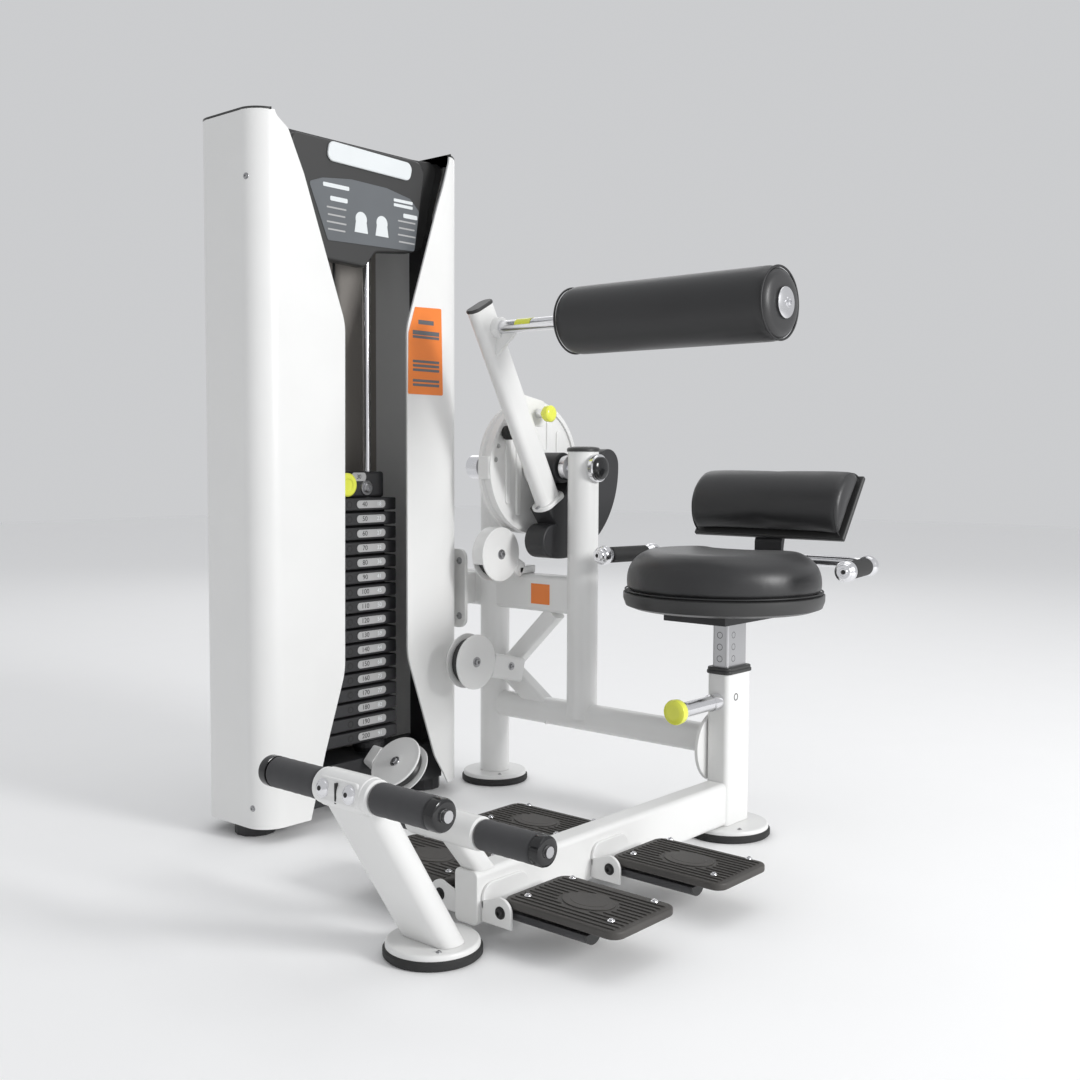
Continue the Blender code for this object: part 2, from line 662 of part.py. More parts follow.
def tower_frame():
    """Inner frame: base with the stack's two bumpers, two uprights and the top beam, on two feet."""
    base = box("tower_frame", (-0.850, -0.700, TOWER_BOTTOM + 0.005), (-0.730, -0.170, BASE_TOP), BLACK)
    pieces = []
    for y in (-0.690, -0.180):
        pieces.append(box("tower_upright", (-0.810, y - 0.020, 0.060), (-0.770, y + 0.020, BEAM_HIGH_Z - 0.002),
                          BLACK))
        pieces.append(rod("tower_foot", (TOWER_X, y, 0), (TOWER_X, y, 0.050), 0.045, RUBBER, SMALL_STEPS))
    for side in (-1, 1):
        bore = ROD_R + RUN
        profile = [(bore, BUMPER_H), (BUMPER_R - 0.008, BUMPER_H), (BUMPER_R, BUMPER_H / 2 + 0.006),
                   (BUMPER_R, BUMPER_H / 2 - 0.006), (BUMPER_R - 0.008, -0.004), (bore, -0.004)]
        place_at = (TOWER_X, STACK_Y + side * ROD_OFFSET, BASE_TOP + GAP)
        pieces.append(turned("stack_bumper", place_at, (0, 0, 1), profile, RUBBER, closed=True, steps=24))
    pieces.append(box("tower_beam", (-0.815, -0.705, BEAM_LOW_Z), (-0.765, -0.165, BEAM_HIGH_Z), BLACK))
    join(base, *pieces)


def guide_rods():
    for i, side in enumerate((-1, 1), 1):
        y = STACK_Y + side * ROD_OFFSET
        rod(f"guide_rod_{i}", (TOWER_X, y, BASE_TOP + GAP), (TOWER_X, y, BEAM_LOW_Z - GAP), ROD_R, CHROME,
            SMALL_STEPS)


def weight_stack():
    """Seventeen plates joined by narrow spacers, bored for the rods and the selector stem."""
    spine_half = 0.022
    stack = box("weight_stack", (TOWER_X - spine_half, STACK_Y - STACK_HALF + 0.004, STACK_BOTTOM + 0.002),
                (TOWER_X + spine_half, STACK_Y + STACK_HALF - 0.004, STACK_TOP - 0.002), CAST)
    for i in range(PLATES):
        low = STACK_BOTTOM + i * PLATE_PITCH
        join(stack, box("stack_plate", (STACK_BACK_X, STACK_Y - STACK_HALF, low),
                        (STACK_FRONT_X, STACK_Y + STACK_HALF, low + PLATE_T), CAST))
    for side in (-1, 1):
        y = STACK_Y + side * ROD_OFFSET
        cut(stack, rod("stack_rod_bore", (TOWER_X, y, 0), (TOWER_X, y, 1), ROD_R + 0.001, CAST, SMALL_STEPS))
    bore_low = STACK_BOTTOM + 0.008
    cut(stack, rod("stack_stem_bore", (TOWER_X, STACK_Y, bore_low), (TOWER_X, STACK_Y, 1), STEM_R + 0.002,
                   CAST, SMALL_STEPS))


def head_plate():
    """Top plate with the selector stem below it and the cable stud above it."""
    low = HEAD_Z
    high = HEAD_Z + HEAD_H
    head = box("head_plate", (HEAD_X[0], HEAD_Y[0], low), (HEAD_X[1], HEAD_Y[1], high), CAST, bevel=0.003)
    stem = rod("head_stem", (TOWER_X, STACK_Y, STACK_BOTTOM + 0.010), (TOWER_X, STACK_Y, low + 0.010), STEM_R,
               STEEL, SMALL_STEPS)
    stud = rod("head_stud", (TOWER_X, STACK_Y, high - 0.010), (TOWER_X, STACK_Y, high + 0.060), 0.009, STEEL,
               SMALL_STEPS)
    join(head, stem, stud)
    for side in (-1, 1):
        y = STACK_Y + side * ROD_OFFSET
        cut(head, rod("head_rod_bore", (TOWER_X, y, 0.5), (TOWER_X, y, 1), ROD_R + 0.001, CAST, SMALL_STEPS))
    cut(head, rod("head_pin_bore", (TOWER_X - 0.010, STACK_Y, HEAD_Z + HEAD_H / 2),
                  (HEAD_X[1] + 0.02, STACK_Y, HEAD_Z + HEAD_H / 2), 0.0055, CAST, SMALL_STEPS))


def selector_pin():
    z = HEAD_Z + HEAD_H / 2
    face = HEAD_X[1] + GAP
    length = TOWER_X - 0.009 - face
    profile = [(0, 0.022), (0.024, 0.022), (0.028, 0.018), (0.028, 0.004), (0.022, 0.0), (0.005, 0.0),
               (0.005, length), (0, length)]
    turned("selector_pin", (face, STACK_Y, z), (1, 0, 0), profile, YELLOW, steps=24)


def lanyard():
    """Outer shape of the pin's coiled cord, hanging between the head plate and beside the knob."""
    z = HEAD_Z + HEAD_H / 2
    front = HEAD_X[1] + 0.008
    route = [(front, STACK_Y - 0.036, z + 0.004), (front + 0.004, STACK_Y - 0.045, z - 0.012),
             (front + 0.006, STACK_Y - 0.062, z - 0.018), (front + 0.004, STACK_Y - 0.080, z - 0.008),
             (front, STACK_Y - 0.088, z + 0.008)]
    tube("lanyard", smooth_path(route, 0.012), 0.0065, RUBBER)


def header():
    """Layered cover of the top pulleys with a stepped lower lip."""
    front = [(-0.630, 1.530), (-0.630, 1.262), (-0.534, 1.267), (-0.420, 1.263), (-0.389, 1.301),
             (-0.266, 1.314), (-0.228, 1.530)]
    radii = [0.02, 0.02, 0.01, 0.015, 0.015, 0.02, 0.03]
    face = prism("header", rounded(front, radii), side_view(-0.735), 0.030, BLACK)
    middle = rounded([(-0.640, 1.528), (-0.640, 1.300), (-0.215, 1.330), (-0.160, 1.547), (-0.300, 1.536)], 0.02)
    back = rounded([(-0.660, 1.526), (-0.660, 1.340), (-0.190, 1.360), (-0.130, 1.549), (-0.260, 1.542)], 0.02)
    join(face, prism("header_middle", middle, side_view(-0.7495), 0.009, BLACK),
         prism("header_back", back, side_view(-0.7565), 0.009, BLACK))


def back_panel():
    box("back_panel", (-0.893, -0.640, 0.080), (-0.888, -0.240, 1.540), PANEL)


def top_pulley():
    """Redirect pulley under the top beam, behind the header, with its hanger."""
    x = TOWER_X - TOP_WHEEL_R
    z = BEAM_LOW_Z - 0.050
    wheel_r = TOP_WHEEL_R - CABLE_R - 0.002
    axle = rod("top_pulley", (x, STACK_Y - 0.022, z), (x, STACK_Y + 0.022, z), AXLE_R, STEEL, SMALL_STEPS)
    join(axle, rod("top_pulley_wheel", (x, STACK_Y - 0.010, z), (x, STACK_Y + 0.010, z), wheel_r, BLACK))
    for side in (-1, 1):
        y = STACK_Y + side * 0.016
        join(axle, box("top_pulley_cheek", (x - 0.012, y - 0.002, z - 0.012), (x + 0.025, y + 0.002, BEAM_LOW_Z - GAP),
                       STEEL))


# ---- pulleys and cables --------------------------------------------------------------------
def wheel_profile(radius, width):
    """Grooved wheel bored for its axle."""
    half = width / 2
    return [(AXLE_R + RUN, half), (radius + 0.004, half), (radius, 0.003), (radius, -0.003),
            (radius + 0.004, -half), (AXLE_R + RUN, -half)]


def pulley(name, centre, axis, tail, tail_width):
    """Wheel between two round cheeks on an axle, with a tail block that holds the cheeks apart."""
    axis = Vector(axis).normalized()
    centre = Vector(centre)
    turned(name + "_wheel", centre, axis, wheel_profile(WHEEL_R, WHEEL_W), BLACK, closed=True)
    half = CHEEK_PITCH / 2 + CHEEK_T / 2
    housing = rod(name + "_housing", centre - axis * half, centre + axis * half, AXLE_R, WHITE, SMALL_STEPS)
    reach = Vector(tail) - centre
    for side in (-1, 1):
        middle = centre + axis * side * CHEEK_PITCH / 2
        disc = rod(name + "_cheek", middle - axis * CHEEK_T / 2, middle + axis * CHEEK_T / 2, PULLEY_R, WHITE)
        join(housing, disc)
    start = centre + reach.normalized() * (WHEEL_R + 0.0135)
    block = bar(name + "_tail", start, tail, axis, 2 * half + 0.002, tail_width, 0.006, WHITE)
    return join(housing, block)


def frame_pulleys():
    upper_tail = (PULLEY_X, -0.030, UPPER_BAR_Z + UPPER_BAR_H / 2 + 0.010)
    upper = pulley("upper_pulley", (PULLEY_X, *UPPER_PULLEY), (1, 0, 0), upper_tail, 0.040)
    seat = box("upper_pulley_seat", (PULLEY_X - 0.0195, -0.046, UPPER_BAR_Z + UPPER_BAR_H / 2 + GAP),
               (PULLEY_X + 0.0195, 0.016, UPPER_BAR_Z + UPPER_BAR_H / 2 + 0.020), WHITE)
    join(upper, seat)
    pulley("lower_pulley", (PULLEY_X, *LOWER_PULLEY), (1, 0, 0), (PULLEY_X, -0.0285, 0.300), 0.060)
    tail = TOWER_PULLEY + Vector((-0.100, 0.004, 0.004))
    tower = pulley("tower_pulley", TOWER_PULLEY, TOWER_PULLEY_AXIS, tail, 0.050)
    cut(tower, box("tower_pulley_trim", (-0.9, -0.7, 0.0), (-0.730 + GAP, -0.1, BASE_TOP + GAP), WHITE))


def lift_cable():
    """Cable from the head plate's stud up to the top pulley."""
    rod("lift_cable", (TOWER_X, STACK_Y, HEAD_Z + HEAD_H + 0.060 + GAP), (TOWER_X, STACK_Y, BEAM_LOW_Z - 0.050),
        CABLE_R, RUBBER, 10)


# ---- pressing arm --------------------------------------------------------------------------
def cam():
    """Round cam with its hub sleeve on the shaft, a flat block on its rim and fluted face."""
    disc = rod("cam", (CAM_LEFT_X, 0, PIVOT_Z), (CAM_FACE_X, 0, PIVOT_Z), CAM_R, WHITE, 48)
    hub = rod("cam_hub", (CAM_FACE_X - 0.005, 0, PIVOT_Z), (WEIGHT_LEFT_X - GAP, 0, PIVOT_Z), HUB_R, WHITE)
    shaft = rod("pivot_shaft", (SHAFT_END_X, 0, PIVOT_Z), (SHAFT_TAIL_X, 0, PIVOT_Z), SHAFT_R, CHROME)
    join(disc, hub)
    cut(disc, rod("cam_bore", (CAM_LEFT_X - 0.05, 0, PIVOT_Z), (WEIGHT_LEFT_X + 0.05, 0, PIVOT_Z), SHAFT_R + RUN,
                  WHITE))
    post_face = PIVOT_POST_X + POST_R + 0.001
    end_cap = rod("shaft_end_cap", (post_face + 0.0005, 0, PIVOT_Z), (SHAFT_END_X + 0.004, 0, PIVOT_Z), 0.030,
                  CHROME)
    far_face = REAR_POST_X - POST_R - 0.001
    far_cap = rod("shaft_far_cap", (far_face, 0, PIVOT_Z), (SHAFT_TAIL_X, 0, PIVOT_Z), 0.030, CHROME)
    join(shaft, end_cap, far_cap)
    rod("cam_bumper", (CAM_FACE_X + GAP, -0.109, 0.890), (CAM_FACE_X + 0.020, -0.109, 0.890), 0.017, RUBBER, 24,
        0.003)


def counterweight():
    """Cast sector with round ends, a neck that carries the arm's flange, and a hub on the shaft."""
    middle_r = (WEIGHT_OUTER_R + WEIGHT_INNER_R) / 2
    end_r = (WEIGHT_OUTER_R - WEIGHT_INNER_R) / 2

    def round_end(angle, first, last):
        spot = math.radians(angle)
        centre = (middle_r * math.cos(spot), middle_r * math.sin(spot))
        return arc(centre, end_r, first, last, 6)[1:-1]

    lean = arm_direction()
    across = Vector((-lean.z, lean.y))
    base = Vector((ARM_BASE[0], ARM_BASE[1] - PIVOT_Z)) - Vector((lean.y, lean.z)) * (FLANGE_T / 2 + GAP)
    outline = arc((0, 0), WEIGHT_OUTER_R, 2, -101, 20)
    outline += round_end(-101, -101, -281)
    outline += [(WEIGHT_INNER_R * math.cos(math.radians(-101)), WEIGHT_INNER_R * math.sin(math.radians(-101)))]
    outline += [tuple(base + across * 0.024), tuple(base - across * (FLANGE_HALF + 0.002))]
    outline += [(0.010, -0.058), (0.018, -0.030), (0.036, -0.012)]
    outline += arc((0, 0), WEIGHT_INNER_R, -30, 2, 6)
    outline += round_end(2, 182, 2)
    outline = [(y, PIVOT_Z + z) for y, z in outline]
    thick = WEIGHT_RIGHT_X - WEIGHT_LEFT_X
    middle = (WEIGHT_RIGHT_X + WEIGHT_LEFT_X) / 2
    sector = prism("counterweight", outline, side_view(middle), thick, CAST)
    hub = rod("counterweight_hub", (WEIGHT_LEFT_X, 0, PIVOT_Z), (WEIGHT_RIGHT_X, 0, PIVOT_Z), WEIGHT_HUB_R, CAST)
    join(sector, hub)
    cut(sector, rod("counterweight_bore", (WEIGHT_LEFT_X - 0.05, 0, PIVOT_Z), (WEIGHT_RIGHT_X + 0.05, 0, PIVOT_Z),
                    SHAFT_R + RUN, CAST))


def arm_direction():
    base = Vector((0, *ARM_BASE))
    top = Vector((0, *ARM_TOP))
    return (top - base).normalized()


def arm():
    """Oval tube on a bolted flange, with the roll's tube and the bracket of the pop pin."""
    lean = arm_direction()
    base = Vector((ARM_X, *ARM_BASE))
    top = Vector((ARM_X, *ARM_TOP))
    tube_bar = bar("arm", base, top, (1, 0, 0), ARM_W, ARM_D, 0.016, WHITE)
    flange = bar("arm_flange", base - lean * FLANGE_T / 2, base + lean * FLANGE_T / 2, (1, 0, 0),
                 0.056, 2 * FLANGE_HALF, 0.020, WHITE)
    cap = bar("arm_cap", top - lean * 0.001, top + lean * 0.006, (1, 0, 0), ARM_W + 0.004, ARM_D + 0.004, 0.018,
              BLACK)
    def across(name, start_x, end_x, radius, finish):
        return rod(name, (start_x, ROLL_Y, ROLL_Z), (end_x, ROLL_Y, ROLL_Z), radius, finish)

    roll_tube = across("roll_tube", ARM_X, ROLL_HALF + 0.002, ROLL_TUBE_R, CHROME)
    stop = across("roll_stop", -ROLL_HALF - 0.012, -ROLL_HALF - 0.002, 0.024, BLACK)
    washer = across("roll_washer", ROLL_HALF + 0.001, ROLL_HALF + 0.005, 0.030, CHROME)
    gusset_outline = [(ARM_X, -0.012), (ARM_X + 0.080, -0.012), (ARM_X, -0.070)]
    gusset = prism("roll_gusset", gusset_outline, frame_matrix((0, ROLL_Y, ROLL_Z), (1, 0, 0), (0, -1, 0)), 0.010,
                   WHITE)
    bracket_outline = rounded([(-0.105, 0.905), (-0.040, 0.905), (-0.040, 0.965), (-0.150, 0.985)], 0.015)
    bracket = prism("pin_bracket", bracket_outline, side_view(ARM_X - 0.014), 0.014, WHITE)
    barrel = rod("pin_barrel", (-0.545, *PIN_SPOT), (-0.480, *PIN_SPOT), 0.011, CHROME, SMALL_STEPS)
    join(tube_bar, flange, cap, roll_tube, stop, washer, gusset, bracket, barrel)


def arm_knob():
    profile = [(0, 0.024), (0.016, 0.024), (0.020, 0.020), (0.020, 0.006), (0.014, 0.0), (0, 0)]
    turned("arm_knob", (-0.480 + GAP, *PIN_SPOT), (1, 0, 0), profile, YELLOW, steps=24)


def roll_pad():
    bore = ROLL_TUBE_R + RUN
    edge = 0.022
    corner = [(ROLL_R - edge + edge * math.cos(math.radians(a)), ROLL_HALF - edge + edge * math.sin(math.radians(a)))
              for a in (90, 60, 30, 0)]
    lower = [(radius, -height) for radius, height in reversed(corner)]
    profile = [(bore, ROLL_HALF)] + corner + lower + [(bore, -ROLL_HALF)]
    turned("roll_pad", (0, ROLL_Y, ROLL_Z), (1, 0, 0), profile, VINYL, closed=True)


# ---- seat ----------------------------------------------------------------------------------
def seat_tube():
    """Sliding inner tube with its row of height holes."""
    height = SEAT_BASE_Z - GAP - INNER_BOTTOM
    middle = INNER_BOTTOM + height / 2
    tube_bar = prism("seat_tube", rectangle(INNER_W, INNER_D, 0.006), plan_view(middle), height, STEEL)
    for i in range(4):
        z = SEAT_BASE_Z - 0.025 - i * 0.025
        cut(tube_bar, rod("seat_tube_hole", (0, -0.060, z), (0, -0.030, z), 0.006, STEEL, 12))


def seat_outline(shrink):
    """Half-moon with a concave back edge, inset by shrink."""
    radius = SEAT_R - shrink
    lobe_angle = math.degrees(math.asin((SEAT_LOBE_Y - shrink - SEAT_Y) / radius))
    outer = arc((0, SEAT_Y), radius, lobe_angle, -180 - lobe_angle, 22)
    lobe_x = radius * math.cos(math.radians(lobe_angle)) - 0.050
    depth = SEAT_LOBE_Y - SEAT_NOTCH_Y
    notch_r = (lobe_x ** 2 + depth ** 2) / (2 * depth)
    notch_y = SEAT_NOTCH_Y - shrink + notch_r
    sweep = math.degrees(math.asin(lobe_x / notch_r))
    return outer + arc((0, notch_y), notch_r, -90 - sweep, -90 + sweep, 7)


def seat():
    board_mid = SEAT_BOARD_Z + SEAT_BOARD_T / 2
    prism("seat_board", seat_outline(0.0), plan_view(board_mid), SEAT_BOARD_T, BLACK, 0.006)
    low = SEAT_BOARD_Z + SEAT_BOARD_T + GAP
    prism("seat_pad", seat_outline(0.002), plan_view((low + SEAT_PAD_TOP) / 2), SEAT_PAD_TOP - low, VINYL, 0.014)


def lumbar_normal():
    along = Vector((LUMBAR_HIGH[0] - LUMBAR_LOW[0], LUMBAR_HIGH[1] - LUMBAR_LOW[1])).normalized()
    return along, Vector((-along.y, along.x))


def lumbar():
    """Half-round back roll on its reclined board."""
    along, out = lumbar_normal()
    low = Vector(LUMBAR_LOW)
    high = Vector(LUMBAR_HIGH)
    board = [low, high, high - out * LUMBAR_BOARD_T, low - out * LUMBAR_BOARD_T]
    prism("lumbar_board", [tuple(p) for p in board], side_view(0), 2 * LUMBAR_HALF, BLACK, 0.003)
    middle = (low + high) / 2
    half = (high - low).length / 2
    curve = []
    for i in range(13):
        angle = math.pi * i / 12
        point = middle + along * half * math.cos(angle) + out * (LUMBAR_BULGE * math.sin(angle) + GAP)
        curve.append(tuple(point))
    prism("lumbar_pad", curve, side_view(0), 2 * LUMBAR_HALF, VINYL, 0.012)


def seat_frame():
    """Bent channel under the seat and up behind the back board, with the box that takes the tube."""
    along, out = lumbar_normal()
    low = Vector(LUMBAR_LOW) - out * (LUMBAR_BOARD_T + GAP)
    top = SEAT_BOARD_Z - GAP
    sheet = 0.010
    upright = HANDLE_BACK_Y + HANDLE_R + GAP
    back_low = low + along * 0.020
    back_high = low + along * 0.120
    outline = [(-0.075, SEAT_BASE_Z), (upright + sheet, SEAT_BASE_Z), (upright + sheet, 0.625),
               tuple(back_low - out * sheet), tuple(back_high - out * sheet), tuple(back_high), tuple(back_low),
               (upright, 0.640), (upright, top - 0.004), (0.040, top - 0.004), (0.040, top), (-0.075, top)]
    frame = prism("seat_frame", outline, side_view(0), SEAT_FRAME_W, WHITE)
    join(frame, box("seat_lever_box", (-0.125, -0.075, SEAT_BASE_Z), (-0.030, 0.030, top), BLACK))


def handle_frame():
    """Bent round tube across the seat's back and forward along both sides, with four ball ends."""
    points = []
    for side in (-1, 1):
        front = Vector((side * GRIP_FRONT[0], GRIP_FRONT[1], HANDLE_Z))
        rear = Vector((side * GRIP_REAR[0], GRIP_REAR[1], HANDLE_Z))
        bend = Vector((side * 0.250, HANDLE_BACK_Y, HANDLE_Z))
        near = Vector((side * 0.215, HANDLE_BACK_Y, HANDLE_Z))
        corner = [rear * (1 - t) ** 2 + bend * 2 * t * (1 - t) + near * t ** 2 for t in (0.25, 0.5, 0.75, 1.0)]
        half = [front, rear] + corner
        points += half if side < 0 else half[::-1]
    frame = tube("handle_frame", points, HANDLE_R, CHROME)
    for side in (-1, 1):
        join(frame, ball("handle_bulb", (side * GRIP_FRONT[0], GRIP_FRONT[1], HANDLE_Z), BULB_R, CHROME))
        join(frame, ball("handle_bulb", (side * GRIP_REAR[0], GRIP_REAR[1], HANDLE_Z), BULB_R, CHROME))


def grips():
    for name, side in (("grip_left", 1), ("grip_right", -1)):
        front = Vector((side * GRIP_FRONT[0], GRIP_FRONT[1], HANDLE_Z))
        rear = Vector((side * GRIP_REAR[0], GRIP_REAR[1], HANDLE_Z))
        middle = (front + rear) / 2
        half = (rear - front).length / 2 - BULB_R - GAP
        bore = HANDLE_R + RUN
        profile = [(bore, half), (GRIP_R, half), (GRIP_R, -half), (bore, -half)]
        turned(name, middle, rear - front, profile, RUBBER, closed=True)


def seat_knob():
    profile = [(0, 0.026), (0.022, 0.026), (0.027, 0.021), (0.027, 0.006), (0.020, 0.0), (0, 0)]
    turned("seat_knob", (0, -0.190 - GAP, 0.300), (0, -1, 0), profile, YELLOW, steps=24)


def build():
    foot("seat_foot", 0, 0, SEAT_FOOT_R)
    foot("front_foot", 0, FRONT_FOOT_Y, FRONT_FOOT_R)
    foot("rear_foot", REAR_POST_X, 0, REAR_FOOT_R)
    base_beam()
    front_post()
    foot_bar()
    lower_roller_mount()
    for name, side in (("left", 1), ("right", -1)):
        roller("foot_roller_" + name, FOOT_BAR_Y, FOOT_BAR_Z, FOOT_ROLLER_IN, FOOT_ROLLER_OUT, side)
        roller("lower_roller_" + name, LOWER_ROLLER_Y, LOWER_ROLLER_Z, LOWER_ROLLER_IN, LOWER_ROLLER_OUT, side)
        for row, (low_y, high_y) in zip(("front", "rear"), STEP_ROWS):
            foot_plate(f"foot_plate_{row}_{name}", side, low_y, high_y)
    seat_post()
    lower_crossbar()
    pivot_post()
    round_post("rear_post", REAR_POST_X, FOOT_TOP + GAP)
    upper_crossbar()
    tower_mount()
    lower_top = LOWER_BAR_Z + LOWER_BAR_H / 2
    upper_bottom = UPPER_BAR_Z - UPPER_BAR_H / 2
    brace("brace", (-0.470, 0, 0.480), (-0.690, 0, 0.266), 0.040, 0.040, BRACE_JOINT_Z, upper_bottom)
    brace("strut", (-0.480, 0, 0.172), (-0.690, 0, 0.318), 0.040, 0.050, lower_top, BRACE_JOINT_Z)
    shroud("shroud_front", TOWER_FRONT[0], -1, TOWER_FRONT[1], FRONT_EDGE)
    shroud("shroud_rear", TOWER_REAR[0], 1, TOWER_REAR[1], REAR_EDGE)
    tower_frame()
    guide_rods()
    weight_stack()
    head_plate()
    selector_pin()
    lanyard()
    header()
    back_panel()
    top_pulley()
    frame_pulleys()
    lift_cable()
    cam()
    counterweight()
    arm()
    arm_knob()
    roll_pad()
    seat_tube()
    seat()
    lumbar()
    seat_frame()
    handle_frame()
    grips()
    seat_knob()


build()
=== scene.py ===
"""Seated torso flexion machine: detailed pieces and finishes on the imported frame."""
import json
import math

import bmesh
import bpy
from mathutils import Matrix, Vector


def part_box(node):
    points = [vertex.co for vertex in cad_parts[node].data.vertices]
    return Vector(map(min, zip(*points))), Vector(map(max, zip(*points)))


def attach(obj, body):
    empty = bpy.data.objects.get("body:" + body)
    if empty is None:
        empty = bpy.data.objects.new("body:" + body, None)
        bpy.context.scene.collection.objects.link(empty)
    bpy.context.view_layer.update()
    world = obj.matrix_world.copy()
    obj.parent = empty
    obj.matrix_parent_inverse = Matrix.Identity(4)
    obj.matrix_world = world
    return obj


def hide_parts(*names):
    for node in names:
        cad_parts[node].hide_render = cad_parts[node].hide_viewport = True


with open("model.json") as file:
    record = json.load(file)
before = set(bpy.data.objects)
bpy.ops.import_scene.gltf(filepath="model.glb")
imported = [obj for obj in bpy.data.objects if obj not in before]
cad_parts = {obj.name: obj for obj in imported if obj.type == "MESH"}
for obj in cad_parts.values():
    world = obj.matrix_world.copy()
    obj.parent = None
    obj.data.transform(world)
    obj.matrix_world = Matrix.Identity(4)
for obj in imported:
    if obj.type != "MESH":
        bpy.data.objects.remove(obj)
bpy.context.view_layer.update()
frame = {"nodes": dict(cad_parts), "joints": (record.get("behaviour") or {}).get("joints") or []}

bl_info = {
    "name": "Torso Flexion Machine",
    "version": (1, 0, 0),
    "blender": (4, 5, 0),
    "location": "3D View > Sidebar > Machine",
    "description": "Builds the detailed pieces of a seated torso flexion machine",
    "category": "Object",
}

ALONG_X = (1, 0, 0)
ALONG_Y = (0, 1, 0)
ALONG_Z = (0, 0, 1)


# ---- places taken from the frame ------------------------------------------------------------
def low_of(node):
    return Vector(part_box(node)[0])


def high_of(node):
    return Vector(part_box(node)[1])


def middle_of(node):
    return (low_of(node) + high_of(node)) / 2


def joint_point(name):
    joint = next(j for j in frame["joints"] if j["name"] == name)
    return Vector(joint["pos_m"])


def joint_axis(name):
    joint = next(j for j in frame["joints"] if j["name"] == name)
    return Vector(joint["axis"])


# ---- settings ------------------------------------------------------------------------------
def colour_property(name, description, default):
    return bpy.props.FloatVectorProperty(name=name, description=description, subtype="COLOR", size=3,
                                         min=0.0, max=1.0, default=default)


class FinishSettings(bpy.types.PropertyGroup):
    """Colours and surface grain of the finishes."""

    paint: colour_property("Frame paint", "Colour of the powder coated steel", (0.80, 0.80, 0.79))
    vinyl: colour_property("Cushion vinyl", "Colour of the cushion covers", (0.022, 0.022, 0.023))
    foam: colour_property("Roller foam", "Colour of the foam rollers", (0.060, 0.060, 0.063))
    knob: colour_property("Knob yellow", "Colour of the adjustment knobs", (0.78, 0.78, 0.07))
    accent: colour_property("Panel accent", "Colour of the plain accent panels", (0.85, 0.22, 0.03))
    tread: colour_property("Tread grey", "Colour of the ribbed foot plates", (0.060, 0.056, 0.052))
    vinyl_grain: bpy.props.FloatProperty(name="Vinyl grain",
                                         description="Size of the vinyl's grain cells per metre",
                                         default=900.0, min=100.0, max=4000.0)
    paint_texture: bpy.props.FloatProperty(name="Paint texture",
                                           description="Strength of the powder coat's texture",
                                           default=0.05, min=0.0, max=1.0)


class PadSettings(bpy.types.PropertyGroup):
    """How full the cushions are."""

    pressure: bpy.props.FloatProperty(name="Pressure", description="Air pressure that swells a cushion's cover",
                                      default=4.0, min=0.5, max=10.0)
    swell: bpy.props.FloatProperty(name="Swell limit", description="Farthest that a point of the cover may move",
                                   default=0.006, min=0.001, max=0.03, unit="LENGTH")
    voxel: bpy.props.FloatProperty(name="Mesh size", description="Spacing of the cover's mesh points",
                                   default=0.006, min=0.003, max=0.02, unit="LENGTH")
    piping: bpy.props.FloatProperty(name="Seam cord", description="Radius of the cord sewn along a seam",
                                    default=0.0022, min=0.001, max=0.006, unit="LENGTH")


class DetailSettings(bpy.types.PropertyGroup):
    """Sizes of the small repeated details."""

    edge: bpy.props.FloatProperty(name="Edge rounding", description="Rounding of folded and cast edges",
                                  default=0.0015, min=0.0002, max=0.01, unit="LENGTH")
    rib_pitch: bpy.props.FloatProperty(name="Tread rib pitch",
                                       description="Distance between ribs of a foot plate",
                                       default=0.0125, min=0.006, max=0.04, unit="LENGTH")
    flute_pitch: bpy.props.FloatProperty(name="Cam flute pitch",
                                         description="Distance between the cam's ribs",
                                         default=0.038, min=0.01, max=0.08, unit="LENGTH")
    lanyard_turns: bpy.props.IntProperty(name="Lanyard turns", description="Turns of the pin's coiled cord",
                                         default=20, min=6, max=60)


